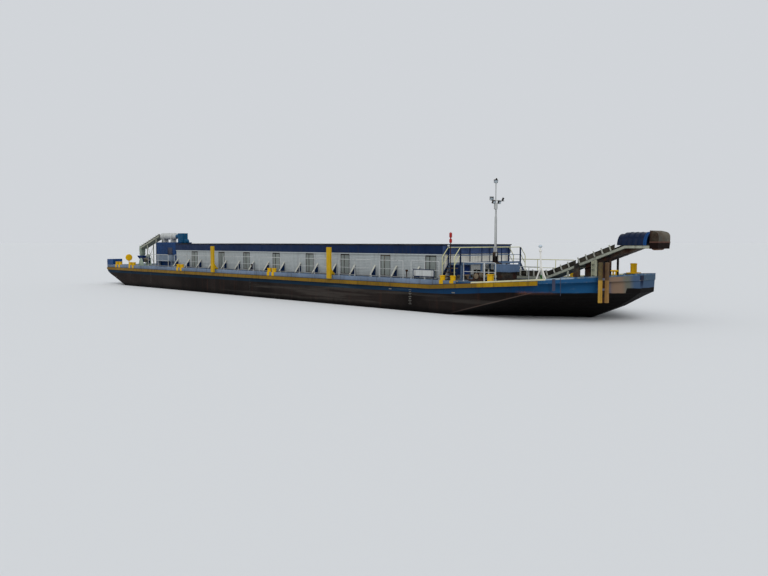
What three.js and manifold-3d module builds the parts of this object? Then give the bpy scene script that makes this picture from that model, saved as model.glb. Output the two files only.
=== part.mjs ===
// A self-unloading river barge as a 1:2 scale model.
// Every size below is in metres of the full-size vessel: X runs forward from the aftmost
// coaming bracket, Y to port, Z up from the waterline. The solids come out in model millimetres.
import * as THREE from 'three';
import { mergeVertices } from 'three/addons/utils/BufferGeometryUtils.js';
import Module from 'manifold-3d';

const wasm = await Module();
wasm.setup();

const MM = 500; // model millimetres for each full-size metre
const GAP = 0.001; // air between pieces that touch
const LAP = 0.01; // how far joined shapes reach into each other
const MERGE_MM = 1e-4;

// Hull and decks
const HALF_BEAM = 4.75;
const KEEL_Z = -0.75;
const STERN_X = -12.2;
const DECK_Z = 2.0;
const DECK_T = 0.04;
const SHEER_X = 33.6; // where the fore deck's own plate starts
const RISE_X = 38.2; // where the fore deck itself starts to rise
const SHOULDER_X = 39.9; // where the deck edge turns in to the bow
const NOSE_X = 43.5;
const SHOULDER_DECK_Z = 2.15;
const NOSE_DECK_Z = 2.3;
const HULL_LEVELS = [
  // z, half beam, stern x, shoulder x, nose x, half width of the nose
  [KEEL_Z, 4.5, -6.2, 30.4, 37.3, 0.15],
  [-0.45, HALF_BEAM, -7.1, 31.5, 38.6, 0.15],
  [0, HALF_BEAM, -8.4, 33.2, 40.2, 0.2],
  [0.75, HALF_BEAM, -10.6, 36.05, 42.0, 0.4],
  [1.1, HALF_BEAM, -11.7, 37.4, 42.6, 0.5],
  [1.35, HALF_BEAM, STERN_X, 38.3, 43.0, 0.65],
  [1.6, HALF_BEAM, STERN_X, 39.25, 43.45, 0.85],
  [2.9, HALF_BEAM, STERN_X, SHOULDER_X, NOSE_X, 0.9],
];
const BULWARK_AFT_X = 35.0;
const BULWARK_TOP = { aft: 2.02, shoulder: 2.37, nose: 2.62 };
const BULWARK_T = 0.06;
const BOW_INSET = 0.4; // how far a corner of the bow draws in for each metre of its sides
const STERN_BULWARK = { inner: 3.2, fore: -10.9, top: 2.55, t: 0.06 };

// Hold, coaming and its brackets
const HOLD_AFT_X = 0.0;
const HOLD_FORE_X = 31.65;
const HOLD_HALF = 3.45;
const HOLD_FLOOR_Z = -0.35;
const HOLD_FLOOR_HALF = 0.8;
const HOLD_RAMP_X = 25.0; // where the hold floor starts to climb forward
const COAMING_HALF = 3.6; // outer face
const COAMING_AFT_X = -0.3;
const COAMING_FORE_X = 31.95;
const COAMING_T = 0.1;
const SIDING = { t: 0.03, bottom: 2.1 }; // raised panels on the wall
const BAND = { z: [3.58, 4.19], out: 0.05, cap: 0.05 };
const BRACKET_PITCH = 2.0;
const BRACKET_COUNT = 16;
const BRACKET = {
  height: 0.78, foot: 0.55, web: 0.05, flange: 0.16, flangeT: 0.04, plate: { past: 0.2, width: 0.1, t: 0.03 },
};
const WALL_RECESSES = [
  // aft edge, fore edge of each recessed panel
  [2.4, 3.4], [6.8, 7.7], [10.5, 11.4], [14.5, 15.4], [18.6, 19.5],
  [22.5, 23.4], [26.5, 27.4], [30.5, 31.4],
];
const BELT_MOUTH = { half: 0.8, top: 2.8 }; // opening in the fore wall for the belt

// Rubbing strake, gunwale and bollards
const STRAKE_Z = [1.49, 1.73];
const STRAKE_OUT = 0.09;
const STRAKE_RISE = { x: [32.0, 39.5], height: 0.51 }; // its fore end slopes up with the bow
const GUNWALE = { gap: 0.02, top: 2.04, fore: 33.9, out: 0.05 };
const BOLLARD = { y: 4.66, radius: 0.16, top: 2.34, cap: 0.19, capT: 0.05, gap: 0.03 };
const BOLLARD_X = [-10.2, -9.5, -7.3, -6.6, 1.9, 2.5, 15.5, 16.1, 32.8, 33.6];
const FORE_BOLLARD = {
  x: [36.12, 36.44], y: [-4.68, -4.48], top: 2.5, cap: { x: [36.08, 36.48], y: [-4.71, -4.45], t: 0.05 },
};
const FENDER = {
  x: [7.95, 22.75], half: 0.2, in: 4.87, out: 5.02, z: [1.79, 3.98],
  arm: { half: 0.12, in: 4.52, foot: 4.62, z: [2.1, 2.2] },
};

// Rails
const RAIL_Y = 4.4;
const RAIL_TOP = 1.15; // above the deck
const RAIL_MID = 0.6;
const RAIL_R = 0.028;
const RAIL_FOOT = { half: 0.05, height: 0.03 };
const RAIL_SECTIONS = [
  // aft end, fore end, number of posts
  [-4.2, -0.4, 3], [0.8, 6.9, 4], [8.8, 13.0, 3], [13.8, 16.5, 2], [18.8, 22.3, 3],
  [23.2, 26.4, 3], [27.2, 29.3, 2], [30.0, 32.3, 3],
];
const RAIL_FORE = { starboard: [[34.2, 35.71, 2], [35.71, 36.5, 2]], port: [[32.3, 36.5, 4]] };
const SIGNAL_POLE = { x: 33.2, z: 4.28, top: 4.92, radius: 0.09 };
const NAME_BOARD = { x: [30.2, 31.9], z: [2.2, 2.62], t: 0.03, strap: 0.05 };

// Fore catwalk with its stairs and the folding light mast
const CATWALK = {
  x: [32.06, 33.1], half: 3.25, floor: 3.0, t: 0.06, rail: 1.0, railIn: 0.05,
  legY: [-3.15, -1.1, 1.1, 3.15], leg: 0.05, posts: 4, landing: { fore: 0.22, half: 0.3 },
};
const STAIR = {
  x: [32.08, 33.08], y: [3.28, 3.95], steps: 3, web: 0.05, depth: 0.25, foot: [0.15, 0.1],
  rail: { in: 0.03, out: 0.57, top: 1.0, low: 3.42 },
};
const MAST = {
  x: 33.32, hinge: 3.6, lights: 7.0, top: 8.42, lower: [0.4, 5.94, 0.075], upper: 0.04,
  heel: 0.08, heelZ: [-0.16, 0.5], pin: 0.03, bore: 0.036, cheek: [0.1, 0.16], plate: 0.17,
  arm: [-0.62, 0.9], lamp: { y: [-0.5, 0.75], half: 0.16, x: [-0.05, 0.16], z: [-0.02, 0.22] },
  collar: { z: [6.45, 6.8], radius: 0.12 }, cap: { half: 0.12, height: 0.2 },
};
const SIGNAL_MAST = {
  at: [39.3, -4.1], base: { x: [-0.3, 0.5], y: [-0.25, 0.4], t: 0.08 }, apex: 0.95, pole: 1.75, lean: -0.06,
  radius: 0.045, feet: [[-0.25, -0.15], [0.42, -0.1], [0, 0.3]], lamp: { z: [1.7, 1.84], radius: 0.08 },
};

// Conveyors: the upper edge of the side beams runs through these points
const BOW_BELT = { half: 0.6, beam: [0.62, 0.7], skirt: 0.3, idler: 0.35 };
const AFT_BELT = { half: 0.28, beam: [0.3, 0.36], skirt: 0.15, idler: 0.2 };
const BELT_Z = [-0.1, -0.04]; // below the beams' upper edge
const SKIRT_T = 0.04;
const PAN_T = 0.04;
const IDLER_PITCH = 0.48;
const IDLER_LENGTH = 0.08;
const DECK_RUN = {
  line: [[32.02, 2.24], [37.5, 2.28], [39.52, 3.04]], depth: 0.17, idlers: [32.3, 39.2], end: 39.3,
};
const BOOM_HINGE = [39.6, 2.98];
const BOOM_RUN = {
  line: [[39.64, 3.1], [42.45, 4.16], [44.2, 4.16]], depth: 0.17, idlers: [39.67, 41.7], end: 43.7,
  belt: [39.72, 43.7], skirt: 41.8,
};
const UNDERFRAME = { aft: 40.0, half: 0.5, depth: 0.41, top: 0.15 }; // heights below the run
const AFT_RUN = { line: [[-8.4, 3.8], [-4.5, 5.0]], depth: 0.17, idlers: [-8.1, -4.7], end: -4.6 };
const HOOD = { x: [41.95, 43.66], radius: 0.74, t: 0.04 };
const HEAD = {
  half: 0.76, t: 0.04, lug: { x: [43.87, 43.93], z: [4.02, 4.12] },
  outside: [[43.86, 3.98], [44.3, 3.98], [44.34, 4.45], [44.26, 4.75], [44.1, 4.9], [43.86, 4.96]],
  inside: [[43.7, 3.9], [44.26, 3.9], [44.3, 4.45], [44.23, 4.73], [44.08, 4.86], [43.7, 4.93]],
};
const HEAD_DRUM = { x: 44.0, z: 4.08, radius: 0.18, half: 0.52, shaft: 0.055, shaftHalf: 0.71, bore: 0.067 };
const HOLD_BELT = { line: [[0.4, HOLD_FLOOR_Z], [HOLD_RAMP_X, HOLD_FLOOR_Z], [31.6, 1.95]], z: [0.02, 0.2] };
const DECK_LEGS = { x: [34.2, 36.6, 38.9], y: [0.63, 0.69], length: 0.11 };
const BOOM_EARS = {
  outline: [[39.35, 2.3], [39.75, 2.35], [39.72, 3.08], [39.45, 3.08]], y: [0.72, 0.78],
  tie: { x: [39.3, 39.5], y: [0.66, 0.76], z: [2.72, 2.82] }, pin: 0.04, bore: 0.06,
};
const BOOM_SUPPORT = {
  base: { x: [39.9, 41.7], half: 0.9, height: 0.06 }, under: 0.012,
  legs: { x: [40.53, 40.77], y: [0.6, 0.84] }, props: { x: [41.44, 41.54], y: [0.4, 0.5] },
  housing: { x: [39.9, 41.05], half: 0.42, under: 0.03 },
};

// Fore deck fittings and machines
const GUIDE_POSTS = {
  at: [[42.12, -2.78], [42.37, -2.52]], half: 0.085, z: [1.1, 3.25],
  web: [[42.076, -2.739], [42.326, -2.479], [42.297, -2.452], [42.047, -2.712]],
  tie: [[41.85, -2.668], [42.08, -2.82], [42.4, -2.47], [42.22, -2.273]], tieZ: [1.75, 2.3], tieT: 0.12,
};
const BOW_BOLLARD = {
  x: 42.65, base: 2.56, plate: [0.43, 0.3], plateT: 0.06, foot: [0.3, 0.22],
  radius: 0.17, top: 3.17, cap: 0.2, capT: 0.05,
};
const POWER_UNIT = { x: [32.12, 32.78], y: [-3.04, -1.98], z: [2.2, 2.9], skid: { inset: 0.1, t: 0.08 } };
const MACHINERY_BOX = {
  x: [35.1, 36.2], y: [-2.6, -1.5], z: [2.55, 3.0], base: { x: [35.2, 36.1], y: [-2.45, -1.65] },
};
const FORE_WINDLASS = {
  at: [34.5, -3.3], base: { half: [0.5, 0.4], t: 0.1 }, drum: { z: 0.3, radius: 0.17, half: 0.3 },
  cheek: { outline: [[-0.3, 0.06], [0.3, 0.06], [0.14, 0.5], [-0.14, 0.5]], y: [0.22, 0.26] },
};
const WINCH = {
  at: [-6.1, -3.75, 2.55], cheek: 0.42, cheekT: 0.03,
  outline: [[-0.5, -0.51], [0.5, -0.51], [0.18, 0.2], [-0.18, 0.2]],
  base: { half: [0.55, 0.5], z: [-0.549, -0.49] }, pin: 0.05, bore: 0.06,
  drum: { half: 0.34, radius: 0.2 }, flange: { radius: 0.36, t: 0.02 },
};

// Loading gear aft, on the starboard side of the centreline
const AFT_HOUSE = {
  x: [-4.1, -0.42], half: 3.6, top: 4.1, wall: 0.06, raised: { y: [-3.6, -1.9], top: 4.3 },
};
const AFT_CABINET = { x: [-3.4, -0.6], y: [3.61, 3.95], z: [2.5, 3.12], legs: [-3.3, -0.8], leg: 0.1 };
const AFT_DOOR = { y: [0.6, 1.4], z: [2.25, 4.05], t: 0.045, play: 0.015 };
const AFT_Y = -2.7;
const AFT_LEGS = { x: [-7.0, -5.2], length: 0.1 };
const AFT_CHUTE = { x: [-8.9, -8.43], half: 0.22, z: [2.95, 3.95], stand: 0.15 };
const AFT_TUBE = {
  x: [-4.47, -1.95], z: 4.88, radius: 0.31, dome: { length: 0.2, radius: 0.23 },
  saddles: { x: [-3.9, -2.4], half: 0.3, t: 0.05 },
};
const AFT_HEAD = {
  x: [-1.09, -0.24], half: 0.29, top: 5.15, neck: 0.17,
  spout: { x: 0.15, half: 0.22, z: [4.25, 4.6] },
};

const PAINT = {
  hull: [0x1c2530, 0.7], blue: [0x1f4a76, 0.5], deck: [0x5f82a5, 0.6], yellow: [0xc39a12, 0.5],
  white: [0xb8bcbe, 0.5], navy: [0x142348, 0.45], grey: [0x7d7d6e, 0.6], dark: [0x17181b, 0.8],
  rust: [0x6b5346, 0.85], green: [0x8a9a8c, 0.6],
};

// Model points from full-size metres
const point = ([x, y, z]) => new THREE.Vector3(x, y, z).multiplyScalar(MM);
const sorted = (range) => [Math.min(...range), Math.max(...range)];

function solidOf(geometry) {
  geometry.deleteAttribute('normal');
  geometry.deleteAttribute('uv');
  const merged = mergeVertices(geometry, MERGE_MM);
  return new wasm.Manifold(new wasm.Mesh({
    numProp: 3,
    vertProperties: merged.attributes.position.array,
    triVerts: new Uint32Array(merged.index.array),
  }));
}

function geometryOf(solid) {
  const { vertProperties, triVerts } = solid.getMesh();
  const geometry = new THREE.BufferGeometry();
  geometry.setAttribute('position', new THREE.BufferAttribute(vertProperties, 3));
  geometry.setIndex(new THREE.BufferAttribute(triVerts, 1));
  geometry.computeVertexNormals();
  return geometry;
}

const join = (solids) => solids.reduce((sum, piece) => sum.add(piece));
const cut = (solid, tools) => tools.reduce((rest, tool) => rest.subtract(tool), solid);

function box(xRange, yRange, zRange) {
  const [x, y, z] = [sorted(xRange), sorted(yRange), sorted(zRange)];
  const geometry = new THREE.BoxGeometry((x[1] - x[0]) * MM, (y[1] - y[0]) * MM, (z[1] - z[0]) * MM);
  return solidOf(geometry.translate(MM * (x[0] + x[1]) / 2, MM * (y[0] + y[1]) / 2, MM * (z[0] + z[1]) / 2));
}

// The directions of an outline's two coordinates and of its extrusion
const PLANES = {
  XY: [[1, 0, 0], [0, 1, 0], [0, 0, 1]],
  XZ: [[1, 0, 0], [0, 0, 1], [0, -1, 0]],
  YZ: [[0, 1, 0], [0, 0, 1], [1, 0, 0]],
};

function prism(plane, outline, range) {
  const [low, high] = sorted(range);
  const shape = new THREE.Shape(outline.map(([a, b]) => new THREE.Vector2(a * MM, b * MM)));
  const geometry = new THREE.ExtrudeGeometry(shape, { depth: (high - low) * MM, bevelEnabled: false });
  geometry.translate(0, 0, plane === 'XZ' ? -high * MM : low * MM);
  const axes = PLANES[plane].map((axis) => new THREE.Vector3(...axis));
  return solidOf(geometry.applyMatrix4(new THREE.Matrix4().makeBasis(...axes)));
}

function rod(from, to, radius, sides = 5) {
  const [a, b] = [point(from), point(to)];
  const along = b.clone().sub(a);
  const geometry = new THREE.CylinderGeometry(radius * MM, radius * MM, along.length(), sides);
  geometry.applyQuaternion(new THREE.Quaternion().setFromUnitVectors(
    new THREE.Vector3(0, 1, 0), along.clone().normalize()));
  const middle = a.add(b).multiplyScalar(0.5);
  return solidOf(geometry.translate(middle.x, middle.y, middle.z));
}

// A closed skin over convex rings of equal count, from the lowest to the highest
function loft(rings) {
  const count = rings[0].length;
  const positions = rings.flat().flatMap((corner) => point(corner).toArray());
  const index = [];
  for (let ring = 0; ring + 1 < rings.length; ring += 1) {
    for (let i = 0; i < count; i += 1) {
      const [a, b] = [ring * count + i, ring * count + (i + 1) % count];
      index.push(a, b, b + count, a, b + count, a + count);
    }
  }
  const top = (rings.length - 1) * count;
  for (let i = 1; i + 1 < count; i += 1) index.push(0, i + 1, i, top, top + i, top + i + 1);
  const geometry = new THREE.BufferGeometry();
  geometry.setAttribute('position', new THREE.Float32BufferAttribute(positions, 3));
  geometry.setIndex(index);
  return solidOf(geometry);
}

// Height of a line of [x, z] points at x
function heightAt(line, x) {
  const i = Math.max(1, line.findIndex((p) => p[0] >= x));
  const [[x0, z0], [x1, z1]] = [line[i - 1], line[i]];
  return z0 + (z1 - z0) * (x - x0) / (x1 - x0);
}

// The stretch of a line of [x, z] points between two places
function stretch(line, start, end) {
  const inner = line.filter(([x]) => x > start && x < end);
  return [[start, heightAt(line, start)], ...inner, [end, heightAt(line, end)]];
}

// The strip between two heights over a line of [x, z] points, as an outline
const strip = (line, low, high) => [
  ...line.map(([x, z]) => [x, z + low]),
  ...line.map(([x, z]) => [x, z + high]).reverse(),
];

// A half ring in Y and Z, standing on the height z
function arch(outer, inner, z, steps = 10) {
  const at = (r, i) => [r * Math.cos(Math.PI * i / steps), z + r * Math.sin(Math.PI * i / steps)];
  const turns = [...Array(steps + 1).keys()];
  return [...turns.map((i) => at(outer, i)), ...turns.reverse().map((i) => at(inner, i))];
}

const barge = new THREE.Group();

function add(name, solid, [colour, roughness], at = [0, 0, 0], metalness = 0.1) {
  const material = new THREE.MeshStandardMaterial({ color: colour, roughness, metalness });
  const mesh = new THREE.Mesh(geometryOf(solid), material);
  mesh.name = name;
  mesh.position.copy(point(at));
  barge.add(mesh);
  return mesh;
}

// A starboard piece and its mirror image to port
function addPair(name, solid, paint, at = [0, 0, 0]) {
  add(`${name}_starboard`, solid, paint, at);
  const port = add(`${name}_port`, solid, paint, [at[0], -at[1], at[2]]);
  port.scale.y = -1;
}

// Ranges that reach past the whole hull
const ACROSS = [-6, 6];
const UPRIGHT = [-2, 6];

const DECK_LINE = [
  [STERN_X, DECK_Z], [SHEER_X, DECK_Z], [RISE_X, DECK_Z],
  [SHOULDER_X, SHOULDER_DECK_Z], [NOSE_X, NOSE_DECK_Z],
];

function planOutline([, half, stern, shoulder, nose, noseHalf]) {
  const side = (sign) => [[stern, sign * half], [shoulder, sign * half], [nose, sign * noseHalf]];
  return [...side(-1), ...side(1).reverse()];
}

// The plan of the deck edge, moved inwards
function deckPlan(inset) {
  const [, half, stern, shoulder, nose, noseHalf] = HULL_LEVELS.at(-1);
  const drawn = BOW_INSET * inset;
  return planOutline([0, half - inset, stern + inset, shoulder - drawn, nose - inset, noseHalf - drawn]);
}

// The hold's space between its sloping sides, drawn in by an inset
function hopper(inset) {
  const [half, floor, top] = [HOLD_HALF - inset, HOLD_FLOOR_HALF - inset, DECK_Z - DECK_T - GAP];
  const side = (sign) => [[sign * half, DECK_Z + 1], [sign * half, top], [sign * floor, HOLD_FLOOR_Z]];
  return prism('YZ', [...side(-1), ...side(1).reverse()], [HOLD_AFT_X + GAP, HOLD_FORE_X - GAP]);
}

// The hull in the sections that it is welded from, so that the hold stays open between them
function buildHull() {
  const noseSlope = (NOSE_DECK_Z - SHOULDER_DECK_Z) / (NOSE_X - SHOULDER_X);
  const ends = [[STERN_X - 1, DECK_Z], ...DECK_LINE.slice(2, 4), [NOSE_X + 1, NOSE_DECK_Z + noseSlope]];
  const above = prism('XZ', strip(ends, -DECK_T - GAP, 2), ACROSS);
  const body = loft(HULL_LEVELS.map((level) => planOutline(level).map(([x, y]) => [x, y, level[0]])))
    .subtract(above);
  const middle = [HOLD_AFT_X + GAP, HOLD_FORE_X - GAP];
  const part = (x, y, z) => body.intersect(box(x, y, z));
  add('hull_stern', part([STERN_X - 1, HOLD_AFT_X], ACROSS, UPRIGHT), PAINT.hull);
  add('hull_bow', part([HOLD_FORE_X, NOSE_X + 1], ACROSS, UPRIGHT), PAINT.hull);
  add('hull_bottom', part(middle, ACROSS, [KEEL_Z - 1, HOLD_FLOOR_Z - GAP]), PAINT.hull);
  const side = part(middle, [ACROSS[0], 0], [HOLD_FLOOR_Z, UPRIGHT[1]]);
  addPair('hull_side', side.subtract(hopper(0)), PAINT.hull);
  const wedge = prism('XZ', [
    [HOLD_RAMP_X, HOLD_FLOOR_Z], [HOLD_FORE_X, HOLD_FLOOR_Z], [HOLD_FORE_X, DECK_Z - DECK_T - 2 * GAP],
  ], ACROSS);
  add('hull_ramp', hopper(2 * GAP).intersect(wedge), PAINT.hull);
  const opening = box([HOLD_AFT_X, HOLD_FORE_X], [-HOLD_HALF, HOLD_HALF], [DECK_Z - 1, DECK_Z + 1]);
  const edge = prism('XY', deckPlan(0), [DECK_Z - 1, DECK_Z + 2]);
  const flat = prism('XZ', strip(DECK_LINE.slice(0, 2), -DECK_T, 0), ACROSS);
  add('main_deck', cut(flat.intersect(edge), [opening]), PAINT.deck);
  const foreLine = DECK_LINE.slice(1).map(([x, z], i) => [i ? x : x + GAP, z]);
  add('fore_deck', prism('XZ', strip(foreLine, -DECK_T, 0), ACROSS).intersect(edge), PAINT.deck);
}

function buildBulwark() {
  const { aft, shoulder, nose } = BULWARK_TOP;
  const line = [[BULWARK_AFT_X, DECK_Z], ...DECK_LINE.slice(2)];
  const slab = prism('XZ', [
    ...line.map(([x, z]) => [x, z + GAP]), [NOSE_X, nose], [SHOULDER_X, shoulder], [BULWARK_AFT_X, aft],
  ], ACROSS);
  const ring = prism('XY', deckPlan(0), UPRIGHT).subtract(prism('XY', deckPlan(BULWARK_T), UPRIGHT));
  add('bow_bulwark', slab.intersect(ring), PAINT.blue);
}

function buildStrakes() {
  const [low, high] = STRAKE_Z.map((z) => [
    [STERN_X, z], [STRAKE_RISE.x[0], z], [STRAKE_RISE.x[1], z + STRAKE_RISE.height],
  ]);
  const strake = prism('XZ', [...low, ...high.toReversed()], [-HALF_BEAM - GAP, -HALF_BEAM - STRAKE_OUT]);
  addPair('strake', strake, PAINT.yellow);
  const side = -HALF_BEAM - GUNWALE.out;
  const rail = prism('XZ', [
    ...stretch(high, STERN_X, GUNWALE.fore).map(([x, z]) => [x, z + GUNWALE.gap]),
    [GUNWALE.fore, GUNWALE.top], [STERN_X, GUNWALE.top],
  ], [-HALF_BEAM - GAP, side]);
  const below = box([STERN_X - 1, NOSE_X], [-HALF_BEAM - GAP, HALF_BEAM], [0, DECK_Z + GAP]);
  const { inner, fore, top, t } = STERN_BULWARK;
  const stern = [
    box([STERN_X, STERN_X + t], [side, -inner], [DECK_Z, top]),
    box([STERN_X, fore], [side, side + t], [DECK_Z, top]),
  ];
  const bollards = BOLLARD_X.map((x) => join([
    rod([x, -BOLLARD.y, heightAt(high, x + BOLLARD.radius) + BOLLARD.gap],
      [x, -BOLLARD.y, BOLLARD.top], BOLLARD.radius, 12),
    rod([x, -BOLLARD.y, BOLLARD.top - BOLLARD.capT], [x, -BOLLARD.y, BOLLARD.top], BOLLARD.cap, 12),
  ]));
  addPair('gunwale', cut(join([rail, ...bollards, ...stern]), [below]), PAINT.deck);
}

function buildForeBollards() {
  const { x, y, top, cap } = FORE_BOLLARD;
  addPair('fore_bollard', join([
    box(x, y, [DECK_Z + GAP, top]), box(cap.x, cap.y, [top - cap.t, top]),
  ]), PAINT.yellow);
}

function buildFenderPosts() {
  const { x, half, arm } = FENDER;
  x.forEach((at, i) => {
    const post = box([at - half, at + half], [-FENDER.in, -FENDER.out], FENDER.z);
    const across = [at - arm.half, at + arm.half];
    const reach = box(across, [-arm.in, -(FENDER.in + FENDER.out) / 2], arm.z);
    const foot = box(across, [-arm.in, -arm.foot], [DECK_Z + GAP, arm.z[1]]);
    addPair(`fender_post_${i ? 'fore' : 'aft'}`, join([post, reach, foot]), PAINT.yellow);
  });
}

function buildCoaming() {
  const wallTop = BAND.z[0] - GAP;
  const face = -COAMING_HALF + SIDING.t;
  const plate = box([COAMING_AFT_X, COAMING_FORE_X], [face, face + COAMING_T], [DECK_Z + GAP, wallTop]);
  const edges = [COAMING_AFT_X, ...WALL_RECESSES.flat(), COAMING_FORE_X];
  const siding = [];
  for (let i = 0; i < edges.length; i += 2) {
    const depth = [-COAMING_HALF, face + COAMING_T / 2];
    siding.push(box([edges[i], edges[i + 1]], depth, [SIDING.bottom, wallTop]));
  }
  addPair('coaming', join([plate, ...siding]), PAINT.white);
  const inner = COAMING_HALF - SIDING.t - COAMING_T - GAP;
  const across = (x) => box([x, x + COAMING_T], [-inner, inner], [DECK_Z + GAP, wallTop]);
  const around = [COAMING_FORE_X - 2 * COAMING_T, COAMING_FORE_X + COAMING_T];
  const mouth = box(around, [-BELT_MOUTH.half, BELT_MOUTH.half], [DECK_Z - 1, BELT_MOUTH.top]);
  add('coaming_fore', cut(across(COAMING_FORE_X - COAMING_T), [mouth]), PAINT.white);
  add('coaming_aft', across(COAMING_AFT_X), PAINT.white);
  const ring = (outset, inset, z) => box(
    [COAMING_AFT_X - outset, COAMING_FORE_X + outset], [-COAMING_HALF - outset, COAMING_HALF + outset], z,
  ).subtract(box(
    [COAMING_AFT_X + inset, COAMING_FORE_X - inset], [-COAMING_HALF + inset, COAMING_HALF - inset], UPRIGHT));
  const { z, out, cap } = BAND;
  add('coaming_band', join([
    ring(out, COAMING_T + SIDING.t, z), ring(out + cap, COAMING_T + SIDING.t + cap, [z[1] - cap, z[1]]),
  ]), PAINT.navy);
}

function buildBrackets() {
  const [y, z] = [-COAMING_HALF - GAP, DECK_Z + GAP];
  const { height, foot, web, flange, flangeT, plate } = BRACKET;
  const last = (BRACKET_COUNT - 1) * BRACKET_PITCH;
  const pieces = [box([-plate.past, last + plate.past], [y, y - plate.width], [z, z + plate.t])];
  for (let i = 0; i < BRACKET_COUNT; i += 1) {
    const x = i * BRACKET_PITCH;
    pieces.push(prism('YZ', [[y, z], [y - foot, z], [y, z + height]], [x - web / 2, x + web / 2]));
    pieces.push(prism('YZ', [
      [y - foot, z], [y - foot - flangeT, z], [y - flangeT, z + height], [y, z + height],
    ], [x - flange / 2, x + flange / 2]));
  }
  addPair('coaming_brackets', join(pieces), PAINT.navy);
}

function railRun(sections, y, deck, top, mid) {
  const pieces = [];
  for (const [aft, fore, posts] of sections) {
    for (const height of [mid, top]) {
      pieces.push(rod([aft - RAIL_R / 2, y, deck + height], [fore + RAIL_R / 2, y, deck + height], RAIL_R));
    }
    for (let i = 0; i < posts; i += 1) {
      const x = aft + (fore - aft) * i / (posts - 1);
      pieces.push(rod([x, y, deck + GAP], [x, y, deck + top], RAIL_R));
    }
  }
  return pieces;
}

function buildRails() {
  const { half, height } = RAIL_FOOT;
  const ends = [RAIL_SECTIONS[0][0] - 2 * half, RAIL_FORE.port[0][1] + 2 * half];
  const foot = box(ends, [-RAIL_Y - half, -RAIL_Y + half], [DECK_Z + GAP, DECK_Z + height]);
  const { x, z, t, strap } = NAME_BOARD;
  const inner = -RAIL_Y + LAP;
  const board = box(x, [-RAIL_Y - t, inner], z);
  const straps = [x[0] + strap, x[1] - 2 * strap].map((at) => box(
    [at, at + strap], [-RAIL_Y - t / 2, inner], [DECK_Z + GAP, DECK_Z + RAIL_MID]));
  const bars = (name) => railRun([...RAIL_SECTIONS, ...RAIL_FORE[name]], -RAIL_Y, DECK_Z, RAIL_TOP, RAIL_MID);
  const side = (name) => join([foot, board, ...straps, ...bars(name)]);
  const pole = SIGNAL_POLE;
  add('side_rail_starboard', join([
    side('starboard'),
    rod([pole.x, -RAIL_Y, DECK_Z + GAP], [pole.x, -RAIL_Y, pole.z + RAIL_R], RAIL_R),
    rod([pole.x, -RAIL_Y, pole.z], [pole.x, -RAIL_Y, pole.top], pole.radius, 8),
  ]), PAINT.white);
  add('side_rail_port', side('port'), PAINT.white).scale.y = -1;
}

function buildCatwalk() {
  const { x, half, floor, t, rail, railIn, legY, leg, posts, landing } = CATWALK;
  const pieces = [
    box(x, [-half, half], [floor - t, floor]),
    box([x[1] - t, MAST.x + landing.fore], [-landing.half, landing.half], [floor - t, floor]),
    ...legY.flatMap((y) => [x[0] + leg, x[1] - leg].map((at) => box(
      [at - leg, at + leg], [y - leg, y + leg], [DECK_Z + GAP, floor - t / 2]))),
  ];
  for (const railX of [x[0] + railIn, x[1] - railIn]) {
    for (const height of [rail / 2, rail]) {
      pieces.push(rod([railX, -half, floor + height], [railX, half, floor + height], RAIL_R));
    }
    for (let i = 0; i < posts; i += 1) {
      const y = (half - RAIL_R) * (2 * i / (posts - 1) - 1);
      pieces.push(rod([railX, y, floor - t / 2], [railX, y, floor + rail], RAIL_R));
    }
  }
  add('catwalk', join(pieces), PAINT.deck);
}

function buildStairs() {
  const { x, y, steps, web, depth, foot, rail } = STAIR;
  const top = CATWALK.floor;
  const rise = (top - DECK_Z) / (steps + 1);
  const run = (y[1] - y[0]) / steps;
  const [near, far] = [-y[0] - rail.in, -y[0] - rail.out];
  const pieces = [];
  for (const [start, end] of [[x[0], x[0] + web], [x[1] - web, x[1]]]) {
    pieces.push(prism('YZ', [
      [-y[0], top], [-y[0], top - depth], [-y[1] + foot[0], DECK_Z + GAP], [-y[1] - foot[1], DECK_Z + GAP],
    ], [start, end]));
    const at = (start + end) / 2;
    pieces.push(rod([at, near, top - depth / 2], [at, near, top + rail.top], RAIL_R));
    pieces.push(rod([at, near, top + rail.top], [at, far, rail.low], RAIL_R));
    pieces.push(rod([at, far, DECK_Z + GAP], [at, far, rail.low + RAIL_R], RAIL_R));
  }
  for (let i = 0; i < steps; i += 1) {
    const z = top - (i + 1) * rise;
    const tread = [-y[0] - i * run - web / 2, -y[0] - (i + 1) * run];
    pieces.push(box([x[0] + web / 2, x[1] - web / 2], tread, [z - web / 2, z]));
  }
  addPair('catwalk_stair', join(pieces), PAINT.white);
}

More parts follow.
